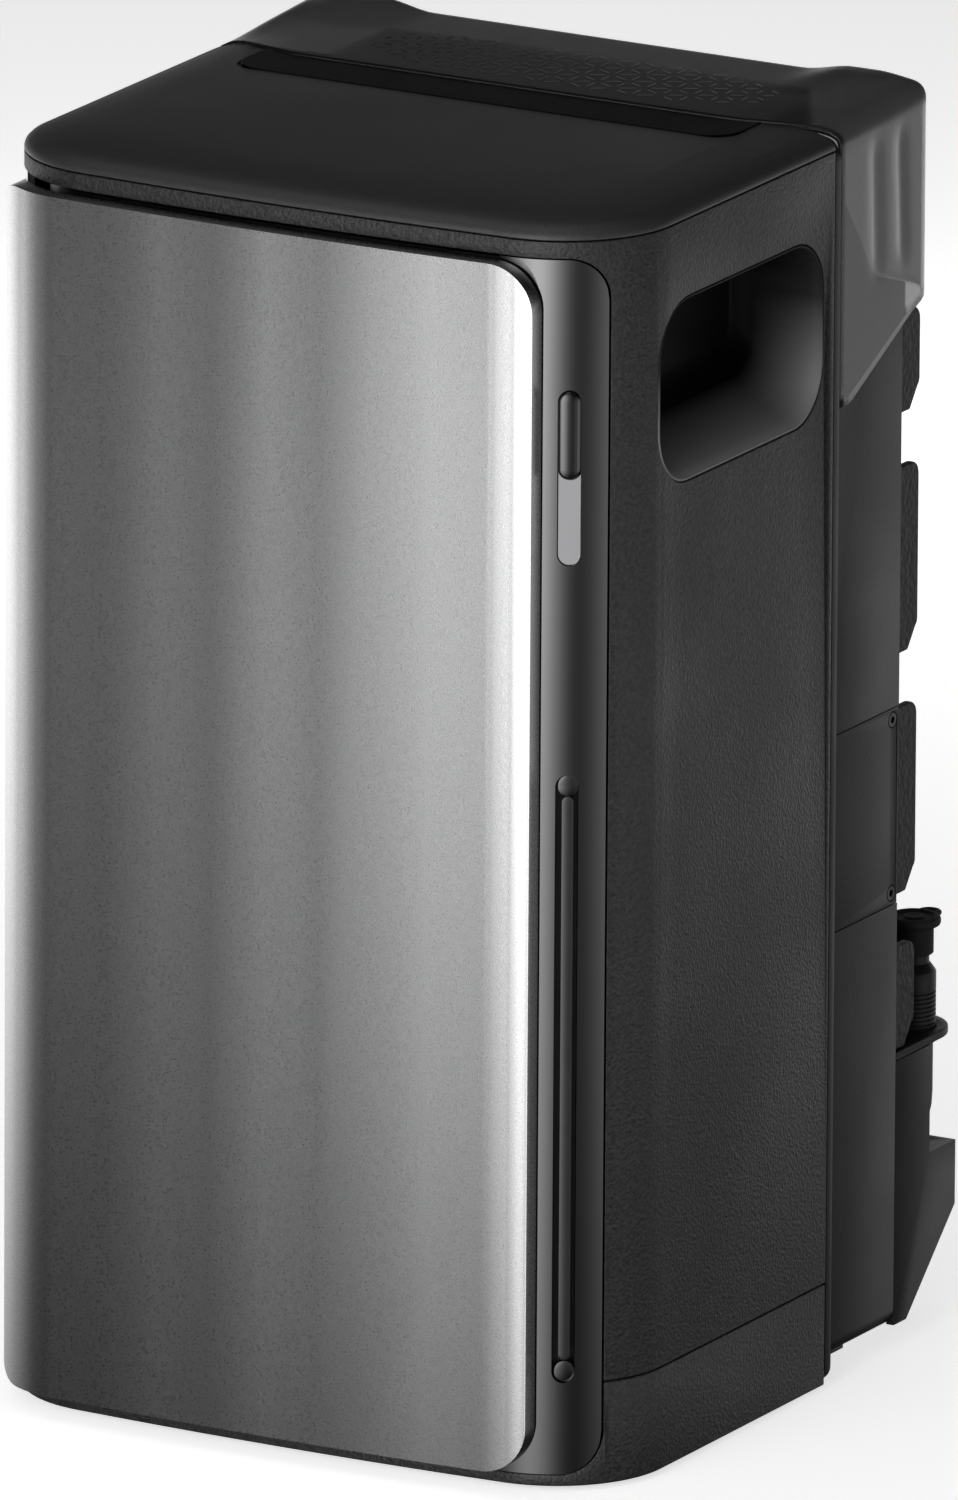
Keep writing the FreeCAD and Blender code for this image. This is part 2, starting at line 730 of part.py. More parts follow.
def make_front_panel():
    """The aluminium panel: a bowed sheet that wraps round the left corner, with a folded rim."""
    z = (s.recess_bottom + s.seam_gap * 2, s.recess_top - s.seam_gap * 2)

    def layer(name, inset, edge):
        """The panel's outline from the front and in plan, moved in by an inset and by an edge."""
        inset = as_size(inset)
        edge = as_size(edge)
        plan = free_sketch(
            name + "_plan",
            plan_outline,
            inset - s.depth / 2,
            case_front - s.panel_proud + s.panel_return,
            half_width - inset,
            s.panel_turn - inset,
            s.front_bow - inset,
        )
        place(plan, z=z[0])
        left = -half_width if edge.value == 0 else -reach
        face = elevation_solid(
            name + "_face",
            (left, panel_right - edge),
            (z[0] + edge, z[1] - edge),
            s.panel_corner - edge,
            (-reach, 0),
        )
        return common(name, [swept(name + "_solid", plan, z[1] - z[0]), face])

    outside = layer("panel_outside", 0, 0)
    inside = layer("panel_inside", s.panel_skin, s.panel_skin)
    behind = free_sketch(
        "panel_behind_plan",
        plan_outline,
        s.panel_rim - s.depth / 2,
        s.depth / 2,
        half_width - s.panel_rim,
        s.panel_turn - s.panel_rim,
        s.front_bow - s.panel_rim,
    )
    place(behind, z=0)
    node(cut("panel", outside, [inside, swept("panel_behind", behind, s.height)]), "front_panel")


def control_block(name, width, z, near, far, grow=0):
    """A pill-ended upright block on the gloss strip, by its distance from the corner's centre."""
    half = as_size(width) / 2 + grow
    return strip_block(name, z[0] - grow, z[1] + grow, (-half, half), half - END_FLAT, near, far)


def make_controls():
    """The gloss strip round the right corner with the button, trim tag and light bar set into it."""
    face = s.corner_radius - s.fit_gap
    back = face - s.strip_thickness
    ring = plan_wall(
        "strip_ring",
        s.fit_gap,
        s.fit_gap + s.strip_thickness,
        s.rear_seam,
        (s.recess_bottom, s.recess_top),
    )
    outline = strip_block(
        "strip_face",
        s.recess_bottom,
        s.recess_top,
        (-reach / 2, strip_half),
        s.strip_corner,
        s.corner_radius / 2,
        face + s.strip_thickness,
    )
    side = box("strip_side", (half_width - s.strip_hidden, reach), (-reach, 0), (0, s.height))
    slot = (back - s.strip_thickness, face + s.strip_thickness)
    control_slot = control_block(
        "control_slot", s.button_width, (s.tag_bottom, s.button_top), *slot, grow=s.fit_gap
    )
    bar_slot = control_block("bar_slot", s.button_width, (s.bar_bottom, s.bar_top), *slot)
    strip = common("strip_blank", [ring, outline, side])
    node(cut("strip", strip, [control_slot, bar_slot]), "gloss_strip")
    button_z = (s.button_bottom, s.button_top)
    button_back = back - s.button_travel * 2
    button = control_block("button", s.button_width, button_z, button_back, face + s.button_proud)
    node(button, "power_button")
    clearance = control_block("button_room", s.button_width, button_z, *slot, grow=s.fit_gap)
    tag_z = (s.tag_bottom, button_z[0] + s.button_width)
    tag = control_block("tag_blank", s.button_width, tag_z, back, face)
    node(cut("tag", tag, [clearance]), "trim_tag")
    bar_z = (s.bar_bottom + s.bar_end, s.bar_top - s.bar_end)
    bar = control_block("bar", s.bar_width, bar_z, back - s.bar_width, face - s.seam_gap)
    node(bar, "light_bar")
    channel_face = back - s.fit_gap * 4
    channel_back = back - s.bar_width * 2
    channel_z = (s.bar_bottom, s.bar_top)
    channel = control_block("channel", s.button_width, channel_z, channel_back, channel_face, grow=s.wall)
    bore_back = back - s.bar_width - s.fit_gap
    bore = control_block("channel_bore", s.button_width, channel_z, bore_back, face)
    node(cut("light_channel_cut", channel, [bore]), "light_channel")
    ends = []
    for name, low in (("lower", s.bar_bottom + s.fit_gap), ("upper", s.bar_top - s.bar_end + s.fit_gap)):
        z = (low, low + s.bar_end - s.fit_gap * 2)
        width = s.button_width - s.seam_gap * 2
        ends.append(control_block(name + "_socket", width, z, back - s.bar_width, face - s.fit_gap))
    node(group("bar_sockets", ends), "light_bar_sockets")
    switch_face = button_back - s.button_travel - s.fit_gap
    switch = control_block("switch", s.button_width, button_z, button_back - s.bar_end, switch_face)
    node(switch, "button_switch")


def make_handles():
    """The scooped carrying cups behind the side openings, with a ribbed grip under each upper lip."""
    inner_face = half_width - s.wall - s.seam_gap - s.fit_gap
    floor = half_width - s.handle_depth
    rim = side_round(
        "cup_rim",
        (s.handle_front - s.wall / 2, s.handle_rear + s.wall),
        (s.handle_bottom - s.wall * 2, s.handle_top + s.wall * 2),
        s.handle_corner,
        (inner_face - s.handle_wall, inner_face),
    )
    body = handle_loft("cup_body", s.handle_wall, inner_face, floor - s.handle_wall)
    hollow = handle_loft("cup_hollow", 0, half_width, floor)
    cup = cut("cup", fuse("cup_blank", [rim, body]), [hollow])
    node(cup, "handle_cup_right")
    node(mirrored("cup_left", cup), "handle_cup_left")
    grip_x = (floor + s.wall, inner_face - s.wall)
    profile = [
        (grip_x[0], s.handle_top - s.handle_wall),
        (grip_x[1], s.handle_top - s.handle_wall),
        (grip_x[1], s.handle_top - s.fit_gap),
        (grip_x[0], s.handle_top + s.wall),
    ]
    outline = free_sketch("grip_outline", polygon, profile)
    place(outline, y=s.handle_front + s.handle_corner, rotation=ELEVATION)
    pieces = [swept("grip_pad", outline, s.grip_length, Vector(0, 1, 0))]
    for i in range(int(s.grip_ribs.value)):
        start = s.handle_front + s.handle_corner + s.grip_length / s.grip_ribs * i
        pieces.append(
            box(
                f"grip_rib_{i}",
                grip_x,
                (start, start + s.grip_length / s.grip_ribs / 2),
                (s.handle_top - s.handle_wall - s.grip_rib, s.handle_top - s.handle_wall),
            )
        )
    grip = fuse("grip", pieces)
    node(grip, "handle_grip_right")
    node(mirrored("grip_left", grip), "handle_grip_left")


def make_rear_housing():
    """The flange and gasket behind the case and the cast housing bolted to them."""
    frame_z = (s.foot_height, s.lid_seam + s.wall / 2)
    opening = elevation_solid(
        "flange_opening",
        (s.flange_web - half_width, half_width - s.flange_web),
        (frame_z[0] + s.flange_web, frame_z[1] - s.flange_web),
        s.corner_small,
        (s.rear_seam - 1, flange_rear + 1),
    )
    for label, y, margin in (
        ("rear_flange", (s.rear_seam + s.seam_gap / 2, flange_rear - s.gasket), as_size(0)),
        ("housing_gasket", (flange_rear - s.gasket, flange_rear), s.housing_inset + s.seam_gap),
    ):
        ring = elevation_solid(
            label + "_ring",
            (margin - half_width, half_width - margin),
            (frame_z[0] + margin, frame_z[1] - margin),
            s.corner_small,
            y,
        )
        node(cut(label + "_cut", ring, [opening]), label)
    outside = elevation_solid(
        "housing_outside",
        (-housing_half, housing_half),
        (s.housing_bottom, s.housing_top),
        s.corner_small,
        (flange_rear, housing_rear),
    )
    lip = box(
        "housing_lip",
        (s.corner_small - housing_half, housing_half - s.corner_small),
        (flange_rear, flange_rear + s.housing_depth / 2),
        (s.housing_bottom - s.gasket * 3, s.housing_bottom),
    )
    inside = elevation_solid(
        "housing_inside",
        (s.housing_wall - housing_half, housing_half - s.housing_wall),
        (s.housing_bottom + s.housing_wall, s.housing_top - s.housing_wall),
        s.corner_small - s.housing_wall / 2,
        (flange_rear - 1, housing_rear - s.housing_wall),
    )
    holes = []
    hole_start = housing_rear - s.housing_wall - 1
    hole_radius = s.outlet_radius - s.outlet_lip + s.fit_gap
    hole_length = s.housing_wall + 2
    for side in (-1, 1):
        face = side * housing_half
        room = (face - s.cover_thickness, reach) if side > 0 else (-reach, face + s.cover_thickness)
        cover_y = (flange_rear, housing_rear + 1)
        holes.append(box(f"cover_room_{side + 1}", room, cover_y, (s.cover_bottom, s.cover_top)))
        x = s.outlet_x * side
        at = (x, hole_start, s.outlet_z, ALONG_Y)
        holes.append(rod(f"outlet_hole_{side + 1}", hole_radius, hole_length, *at))
    hollow = cut("housing_hollow", inside, housing_shoulders("shoulder_wall", s.housing_wall))
    tools = [hollow] + housing_shoulders("shoulder_room", 0) + holes
    node(cut("housing", fuse("housing_blank", [outside, lip]), tools), "rear_housing")


def housing_shoulders(name, wall):
    """The two blocks cut from the housing's upper sides, grown by a wall inside it."""
    wall = as_size(wall)
    front = flange_rear + s.housing_wall - wall
    profile = [
        (front, s.housing_top + s.wall),
        (front, s.shoulder_high - wall),
        (housing_rear - s.shoulder_knee_in, s.shoulder_knee - wall),
        (housing_rear + s.wall, s.shoulder_low - wall),
        (housing_rear + s.wall, s.housing_top + s.wall),
    ]
    inner = s.shoulder_inner - wall
    right = side_solid(name + "_right", profile, (inner, reach))
    left = side_solid(name + "_left", profile, (-reach, -inner))
    return [right, left]


def make_side_covers():
    """The screwed wiring covers let into the sides of the rear housing."""
    cover_y = (flange_rear + s.fit_gap, housing_rear - s.fit_gap)
    cover_z = (s.cover_bottom + s.fit_gap, s.cover_top - s.fit_gap)
    screw_y = housing_rear - s.cover_screw_edge
    screw_z = (s.cover_bottom + s.cover_screw_edge, s.cover_top - s.cover_screw_edge)
    screws = []
    for side, label in ((-1, "left"), (1, "right")):
        low = housing_half - s.cover_thickness if side > 0 else -housing_half
        plate = box(f"cover_plate_{label}", (low, low + s.cover_thickness), cover_y, cover_z)
        seats = []
        socket_x = low + s.cover_thickness / 2 if side > 0 else low - 1
        for i, z in enumerate(screw_z):
            name = f"{label}_{i}"
            at = (screw_y, z, ALONG_X)
            seats.append(rod("screw_seat_" + name, s.screw_radius + s.fit_gap, s.wall * 2, low - 1, *at))
            head = rod("screw_head_" + name, s.screw_radius, s.cover_thickness, low, *at)
            socket = rod("screw_socket_" + name, s.screw_radius / 2, s.cover_thickness, socket_x, *at)
            screws.append(cut("screw_" + name, head, [socket]))
        node(cut(f"cover_{label}", plate, seats), f"side_cover_{label}")
    node(group("cover_screw_set", screws), "cover_screws")


def make_fins():
    """Four rows of cooling fins on the housing's rear wall; each row is a web with upright fins."""
    rows = [
        ("top", s.fin_top_low, s.fin_top_high),
        ("upper", s.fin_upper_low, s.fin_upper_high),
        ("lower", s.fin_lower_low, s.fin_lower_high),
        ("bottom", shelf_top + s.fit_gap, s.fin_bottom_high),
    ]
    start = housing_rear + s.fit_gap / 3
    edge = s.fin_inset - housing_half
    span = -edge * 2
    for label, low, high in rows:
        body = new_body("cooling_fins_" + label)
        web = body_sketch(
            body,
            label + "_web_outline",
            "YZ_Plane",
            edge,
            polygon,
            [(start, low), (start + s.fin_web, low), (start + s.fin_web, high), (start, high)],
        )
        pad(body, label + "_web", web, span)
        profile = [
            (start, low),
            (fin_rear - s.fin_corner, low + s.fin_slope),
            (fin_rear, low + s.fin_slope + s.fin_corner),
            (fin_rear, high - s.fin_nick),
            (fin_rear - s.fin_nick, high),
            (start, high),
        ]
        fin_sketch = body_sketch(body, label + "_fin_outline", "YZ_Plane", edge, polygon, profile)
        fin = pad(body, label + "_fin", fin_sketch, s.fin_thickness)
        row = body.newObject("PartDesign::LinearPattern", label + "_row")
        row.Originals = [fin]
        axis = next(item for item in body.Origin.OriginFeatures if item.Role == "X_Axis")
        row.Direction = (axis, [""])
        bind(row, "Length", span - s.fin_thickness)
        bind(row, "Occurrences", s.fin_count)
        body.Tip = row


def hood_skin(name, inset, profile):
    """The hood's side view pulled across its width, with soft shoulders and rear corners."""
    half = housing_half + s.hood_play + s.hood_wall - inset
    top = hood_top - inset
    rear = s.hood_rear - inset
    face = elevation_solid(
        name + "_face",
        (-half, half),
        (s.housing_bottom, top),
        s.lid_shoulder - inset,
        (0, s.depth),
    )
    plan = free_sketch(name + "_plan", rounded, (-half, half), (-rear, rear), s.hood_corner - inset)
    block = swept(name + "_block", plan, s.height)
    return common(name, [face, block, side_solid(name + "_side", profile, (-reach, reach))])


def make_hood():
    """The smoky rain hood: it drops over the housing's top and lifts straight off."""
    lid_side = flange_rear + s.fit_gap
    tail_drop = s.hood_tail - s.hood_rise
    high = s.height + s.wall
    outside = hood_skin(
        "hood_outside",
        as_size(0),
        [
            (s.hood_front, lid_top + s.fit_gap),
            (lid_side, lid_top + s.fit_gap),
            (lid_side, s.hood_low),
            (lid_side + s.wall * 2, s.hood_low),
            (housing_rear, tail_drop),
            (s.hood_rear, s.hood_tail),
            (s.hood_rear, high),
            (s.hood_front, high),
        ],
    )
    inside = hood_skin(
        "hood_inside",
        s.hood_wall,
        [
            (lid_side - s.wall, s.housing_bottom),
            (s.hood_rear, s.housing_bottom),
            (s.hood_rear, high),
            (lid_side + s.wall, high),
            (lid_side + s.wall, lid_top - s.wall),
            (lid_side - s.wall, lid_top - s.wall),
        ],
    )
    skins = [cut("hood_shell", outside, [inside])]
    sink = hood_top - s.hood_wall / 2
    for side in (-1, 1):
        crest = [
            (s.hood_ear_inner * side, sink),
            ((s.hood_ear_inner + s.hood_ear_slope) * side, s.height),
            ((s.hood_ear_outer - s.hood_ear_slope) * side, s.height),
            (s.hood_ear_outer * side, sink),
        ]
        outline = free_sketch(f"ear_crest_{side + 1}", polygon, crest)
        place(outline, rotation=ELEVATION)
        rear = s.hood_rear - s.hood_wall
        swell = [
            (rear - s.hood_ear_depth, sink),
            (rear - s.hood_wall, s.height),
            (rear, s.height),
            (s.hood_rear, sink),
        ]
        ear = swept(f"ear_block_{side + 1}", outline, s.depth, Vector(0, 1, 0))
        slope = side_solid(f"ear_swell_{side + 1}", swell, (-reach, reach))
        skins.append(common(f"ear_{side + 1}", [ear, slope]))
    node(fuse("hood", skins), "rain_hood")


def make_outlets():
    """Two round recessed mains outlets in the housing's rear wall, under the hood."""
    face = housing_rear + s.outlet_lip
    recess_start = face - s.outlet_depth
    barrel_start = recess_start - s.outlet_lip * 2
    barrel_length = housing_rear + s.fit_gap - barrel_start
    flange_start = housing_rear + s.fit_gap / 3
    for side, label in ((-1, "left"), (1, "right")):
        at = (s.outlet_z, ALONG_Y)
        x = s.outlet_x * side
        flange = rod("outlet_flange_" + label, s.outlet_radius, s.outlet_lip, x, flange_start, *at)
        barrel_radius = s.outlet_radius - s.outlet_lip
        barrel = rod("outlet_barrel_" + label, barrel_radius, barrel_length, x, barrel_start, *at)
        tools = [rod("outlet_recess_" + label, s.outlet_bore, s.outlet_depth * 2, x, recess_start, *at)]
        for pin in (-1, 1):
            pin_x = x + s.outlet_pin_spacing / 2 * pin
            name = f"outlet_pin_{label}_{pin + 1}"
            tools.append(rod(name, s.outlet_pin, s.outlet_depth, pin_x, barrel_start + 1, *at))
        blank = fuse("outlet_blank_" + label, [flange, barrel])
        node(cut("outlet_cut_" + label, blank, tools), "mains_outlet_" + label)


connector_places = [
    -s.connector_outer,
    s.connector_pitch - s.connector_outer,
    s.connector_outer - s.connector_pitch,
    s.connector_outer,
]


def make_connector_shelf():
    """The shelf that holds the solar connectors and the cable bracket that hangs below it."""
    shelf_half = housing_half
    shelf_front = housing_rear + s.fit_gap
    shelf_rear = s.depth / 2
    outline = free_sketch(
        "shelf_outline",
        rounded,
        (-shelf_half, shelf_half),
        (shelf_front - s.shelf_corner * 2, shelf_rear),
        s.shelf_corner,
    )
    place(outline, z=s.shelf_bottom)
    tools = [box("shelf_trim", (-reach, reach), (-reach, shelf_front), (0, s.height))]
    hole_radius = s.connector_radius + s.fit_gap
    for i, x in enumerate(connector_places):
        at = (x, connector_y, s.shelf_bottom - s.wall)
        tools.append(rod(f"shelf_hole_{i}", hole_radius, s.wall * 3, *at))
    node(cut("shelf", swept("shelf_blank", outline, s.shelf_thickness), tools), "connector_shelf")
    bracket_rear = shelf_rear - s.bracket_setback
    cheek_rear = shelf_front + s.bracket_cheek
    pieces = [
        box(
            "bracket_ledge",
            (-shelf_half, shelf_half),
            (shelf_front, bracket_rear),
            (s.bracket_top - s.bracket_wall, s.bracket_top),
        ),
        box(
            "bracket_apron",
            (-shelf_half, shelf_half),
            (bracket_rear - s.bracket_wall, bracket_rear),
            (s.bracket_step, s.bracket_top),
        ),
    ]
    for side, low in (("right", shelf_half - s.bracket_wall), ("left", -shelf_half)):
        cheek = [
            (shelf_front, s.housing_bottom),
            (shelf_front + s.bracket_foot, s.housing_bottom),
            (bracket_rear, s.bracket_step),
            (bracket_rear, s.bracket_top),
            (cheek_rear, s.bracket_top),
            (cheek_rear, s.shelf_bottom - s.fit_gap / 3),
            (shelf_front, s.shelf_bottom - s.fit_gap / 3),
        ]
        pieces.append(side_solid(f"bracket_cheek_{side}", cheek, (low, low + s.bracket_wall)))
    hole_low = s.bracket_top - s.bracket_wall * 2
    holes = [
        rod(f"cable_hole_{i}", s.cable_hole, s.bracket_wall * 3, x, connector_y, hole_low)
        for i, x in enumerate(connector_places)
    ]
    node(cut("bracket", fuse("bracket_blank", pieces), holes), "cable_bracket")


def make_connectors():
    """The four solar connectors through the shelf, each with a lift-off dust cap and its ring tab."""
    r = s.connector_radius
    tip = s.cap_top - s.cap_disc * 2
    waist = s.connector_top + s.wall
    for i, x in enumerate(connector_places, start=1):
        turned_body(
            f"solar_connector_{i}",
            [
                (0, s.connector_end),
                (r - s.wall * 1.5, s.connector_end),
                (r - s.fit_gap * 3, s.connector_end + s.wall * 2),
                (r - s.fit_gap * 3, s.shelf_bottom - s.wall),
                (r, s.shelf_bottom - s.wall),
                (r, s.connector_top - s.wall),
                (s.neck_radius, s.connector_top),
                (s.neck_radius, waist),
                (s.neck_radius - 1, waist),
                (s.neck_radius - 1, tip),
                (0, tip),
            ],
            x,
            connector_y,
        )
        spigot = s.neck_radius - 1 + s.fit_gap
        disc_low = s.cap_top - s.cap_disc
        cap_profile = [
            (spigot, waist + s.fit_gap),
            (s.cap_stem, waist + s.fit_gap),
            (s.cap_stem, disc_low),
            (s.cap_radius, disc_low),
            (s.cap_radius, s.cap_top),
            (0, s.cap_top),
            (0, tip + s.fit_gap),
            (spigot, tip + s.fit_gap),
        ]
        body = turned_body(f"cap_turned_{i}", cap_profile, x, connector_y)
        nodes.remove(body)
        tab_y = connector_y + s.cap_radius + s.cap_tab / 3
        tab = rod(f"cap_tab_{i}", s.cap_tab, s.cap_disc / 2, x, tab_y, disc_low + s.cap_disc / 4)
        at = (x, tab_y + s.cap_tab_hole / 2, disc_low - s.cap_disc / 2)
        tab_hole = rod(f"cap_tab_hole_{i}", s.cap_tab_hole, s.cap_disc * 2, *at)
        node(fuse(f"cap_{i}", [body, cut(f"cap_ring_{i}", tab, [tab_hole])]), f"dust_cap_{i}")


def make_feet():
    """Rubber feet under the base plate and the screws that hold the plate."""
    feet = []
    screws = []
    half = s.foot_height / 2
    for side in (-1, 1):
        for y in (s.foot_front, s.foot_rear):
            i = len(feet)
            feet.append(rod(f"foot_{i}", s.foot_radius, s.foot_height, s.foot_x * side, y, 0))
            screws.append(rod(f"base_screw_{i}", s.base_screw_radius, half, s.base_screw_x * side, y, half))
    node(group("foot_set", feet), "rubber_feet")
    node(group("base_screw_set", screws), "base_screws")


def make_battery():
    """Two stacks of flat prismatic cells in a tray, clamped by a top plate and tie rods."""
    rows = int(s.cell_rows.value)
    tray_low = s.foot_height + s.plate_thickness + s.cell_lift
    cell_low = tray_low + s.tray_wall + s.fit_gap
    pitch = s.cell_height + s.cell_gap
    stack_top = cell_low + pitch * rows
    rear = s.cell_front + s.cell_depth
    middle = s.end_plate / 2
    cells = []
    bars = []
    for side in (-1, 1):
        low = middle if side > 0 else -middle - s.cell_width
        for i in range(rows):
            z = cell_low + pitch * i
            cell_z = (z, z + s.cell_height)
            cell_x = (low, low + s.cell_width)
            cells.append(box(f"cell_{side + 1}_{i}", cell_x, (s.cell_front, rear), cell_z))
            if i < rows - 1:
                edge = s.busbar_edge if i % 2 else s.cell_width - s.busbar_edge - s.busbar_width
                bar_y = (s.cell_front - s.busbar, s.cell_front - s.fit_gap / 3)
                bar_z = (z + s.cell_height / 3, z + pitch + s.cell_height / 3 * 2)
                bar_x = (low + edge, low + edge + s.busbar_width)
                bars.append(box(f"busbar_{side + 1}_{i}", bar_x, bar_y, bar_z))
    node(group("cell_set", cells), "battery_cells")
    node(group("busbar_set", bars), "busbars")
    outer = middle + s.cell_width + s.tray_wall
    plan = ((-outer, outer), (s.cell_front - s.busbar - s.tray_wall, rear + s.tray_wall * 2))
    node(box("tray", *plan, (tray_low, tray_low + s.tray_wall)), "cell_tray")
    node(box("clamp", *plan, (stack_top, stack_top + s.end_plate)), "cell_clamp_plate")
    leg_z = (s.foot_height + s.plate_thickness, tray_low)
    legs = [
        box(f"tray_leg_{i}", (x - s.tray_leg, x + s.tray_leg), plan[1], leg_z)
        for i, x in enumerate((-s.tray_leg_x, s.tray_leg_x))
    ]
    node(group("tray_leg_set", legs), "tray_legs")
    ties = []
    for x_side in (-1, 1):
        for y in (s.cell_front + s.end_plate, rear - s.end_plate):
            x = (outer + s.tie_radius + s.fit_gap) * x_side
            name = f"tie_{x_side + 1}_{len(ties)}"
            ties.append(rod(name, s.tie_radius, stack_top - tray_low, x, y, tray_low))
    node(group("tie_set", ties), "tie_rods")
    board_low = stack_top + s.end_plate + s.standoff
    board_x = (s.board_margin - outer, outer - s.board_margin)
    board_y = (s.cell_front + s.end_plate * 2, rear - s.end_plate * 2)
    board = box("battery_board_plate", board_x, board_y, (board_low, board_low + s.board_thickness))
    node(board, "battery_board")
    posts = []
    post_low = stack_top + s.end_plate
    post_in = s.tie_radius * 2
    for x in (board_x[0] + post_in, board_x[1] - post_in):
        for y in (board_y[0] + post_in, board_y[1] - post_in):
            posts.append(rod(f"post_{len(posts)}", s.tie_radius, s.standoff, x, y, post_low))
    node(group("post_set", posts), "board_standoffs")


def make_inverter():
    """The inverter board in the rear housing, its big parts and the pads that cool it."""
    board_y = housing_rear - s.housing_wall - s.module_depth - s.board_thickness - s.pad_thickness
    half = housing_half - s.housing_wall * 3
    module_y = board_y + s.board_thickness
    plate = box("inverter_board_plate", (-half, half), (board_y, module_y), (s.board_low, s.board_high))
    node(plate, "inverter_board")
    modules = []
    pads = []
    count = int(s.module_count.value)
    pitch = (s.board_high - s.board_low) / count
    for side in (-1, 1):
        for i in range(count):
            x = (half / 2 * side - s.module_width / 2, half / 2 * side + s.module_width / 2)
            z = s.board_low + pitch * i + pitch / 4
            z_range = (z, z + pitch / 2)
            modules.append(box(f"module_{side + 1}_{i}", x, (module_y, module_y + s.module_depth), z_range))
            pads.append(
                box(
                    f"pad_{side + 1}_{i}",
                    x,
                    (module_y + s.module_depth, module_y + s.module_depth + s.pad_thickness),
                    z_range,
                )
            )
    node(group("module_set", modules), "power_modules")
    node(group("pad_set", pads), "thermal_pads")
    tall = board_y - s.rear_seam - s.flange_depth
    cans = []
    for i in range(count):
        z = s.board_low + pitch * i + pitch / 2
        at = (s.can_x, board_y - tall, z, ALONG_Y)
        cans.append(rod(f"can_{i}", s.can_radius, tall, *at))
    node(group("can_set", cans), "capacitors")
    coils = []
    for i in range(count - 1):
        coil = doc.addObject("Part::Torus", f"coil_{i}")
        bind(coil, "Radius1", s.coil_radius)
        bind(coil, "Radius2", s.coil_wire)
        coil_y = board_y - s.coil_wire - s.fit_gap
        place(coil, s.coil_x, coil_y, s.board_low + pitch * (i + 1), ALONG_Y)
        coils.append(coil)
    node(group("coil_set", coils), "inductors")


def make_small_boards():
    """The display light board under the lid and the radio board beside it."""
    low = s.lid_seam - s.standoff
    plate_x = (s.display_left + s.board_margin, s.display_right - s.board_margin)
    plate_y = (s.display_front, s.hood_front - s.wall)
    plate = box("display_board_plate", plate_x, plate_y, (low, low + s.board_thickness))
    node(plate, "display_board")
    radio_y = (s.display_front - s.module_width * 1.5, s.display_front - s.wall)
    radio = box("radio_plate", (-s.module_width, s.module_width), radio_y, (low, low + s.board_thickness))
    can = box(
        "radio_can",
        (-s.module_width / 2, s.module_width / 2),
        (radio_y[0] + s.wall, radio_y[0] + s.module_width),
        (low + s.board_thickness, low + s.board_thickness * 2),
    )
    node(fuse("radio", [radio, can]), "radio_board")
    bearing_back = s.corner_radius - s.fit_gap - s.strip_thickness - s.bar_width * 2
    light = control_block(
        "light_board_strip",
        s.button_width,
        (s.bar_bottom, s.bar_top),
        bearing_back - s.board_thickness - s.fit_gap,
        bearing_back - s.fit_gap,
    )
    node(light, "light_board")


make_case()
make_lid()
make_front_panel()
make_controls()
make_handles()
make_rear_housing()
make_side_covers()
make_fins()
make_hood()
make_outlets()
make_connector_shelf()
make_connectors()
make_feet()
make_battery()
make_inverter()
make_small_boards()
doc.recompute()

faults = [item.Name for item in doc.Objects if "Invalid" in item.State or "Error" in item.State]
for item in nodes:
    if item.Shape.isNull() or not item.Shape.isValid() or not item.Shape.Solids:
        faults.append(item.Label)
if faults:
    raise RuntimeError("failed: " + ", ".join(faults))

os.makedirs("parts", exist_ok=True)
for item in nodes:
    item.Shape.exportStep(f"parts/{item.Label}.step")
print(len(nodes), "sub-parts written")
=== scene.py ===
import math

import bmesh
import bpy
from mathutils import Matrix, Vector


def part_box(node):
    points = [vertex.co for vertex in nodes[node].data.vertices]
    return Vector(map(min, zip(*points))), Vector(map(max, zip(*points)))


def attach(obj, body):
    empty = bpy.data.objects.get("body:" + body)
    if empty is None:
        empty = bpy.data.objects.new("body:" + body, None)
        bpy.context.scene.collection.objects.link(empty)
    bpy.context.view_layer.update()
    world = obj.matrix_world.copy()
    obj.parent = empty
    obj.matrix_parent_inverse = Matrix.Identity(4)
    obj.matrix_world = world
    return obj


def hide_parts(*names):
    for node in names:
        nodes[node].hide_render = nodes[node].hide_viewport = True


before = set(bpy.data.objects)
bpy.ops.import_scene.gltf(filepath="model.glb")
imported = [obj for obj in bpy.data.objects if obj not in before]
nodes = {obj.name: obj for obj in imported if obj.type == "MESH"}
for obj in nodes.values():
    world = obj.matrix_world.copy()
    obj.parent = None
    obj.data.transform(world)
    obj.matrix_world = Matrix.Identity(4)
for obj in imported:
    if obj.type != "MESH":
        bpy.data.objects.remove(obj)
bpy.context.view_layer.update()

# ---------------------------------------------------------------------------------------
# The place where the storage unit stands: a plain pale floor, four soft lights round it
# and a long lens at shoulder height, a little to the right of its front.
FLOOR_HALF = 30.0
FLOOR_TONE = (0.93, 0.93, 0.93, 1)
LENS_PLACE = {"around": 29.321, "above": 15.733, "lean": 0.35, "distance": 12.04}
LENS_AIM = Vector((0.0, 0.0, 0.230))
LENS_LENGTH = 828.4
LENS_SHIFT = (0.0041, -0.0142)
ROOM_TONE = (0.05, 0.05, 0.05, 1)
WALL_RADIUS = 1.3
WALL_SPAN = (-0.8, 1.5)
# Four plain soft lights on the walls round the unit, each fading evenly to its edges. The
# bearing is in degrees from the front (right is positive) and the height is in metres.
SOFT_LIGHTS = [
    {"bearing": 8, "width": 20, "height": 0.4, "tall": 0.75, "bright": 4.2},
    {"bearing": -105, "width": 38, "height": 0.05, "tall": 0.42, "bright": 1.6},
    {"bearing": 88, "width": 28, "height": 0.05, "tall": 0.42, "bright": 1.1},
    {"bearing": 180, "width": 50, "height": 0.05, "tall": 0.42, "bright": 1.2},
]
WALL_PANES = 120


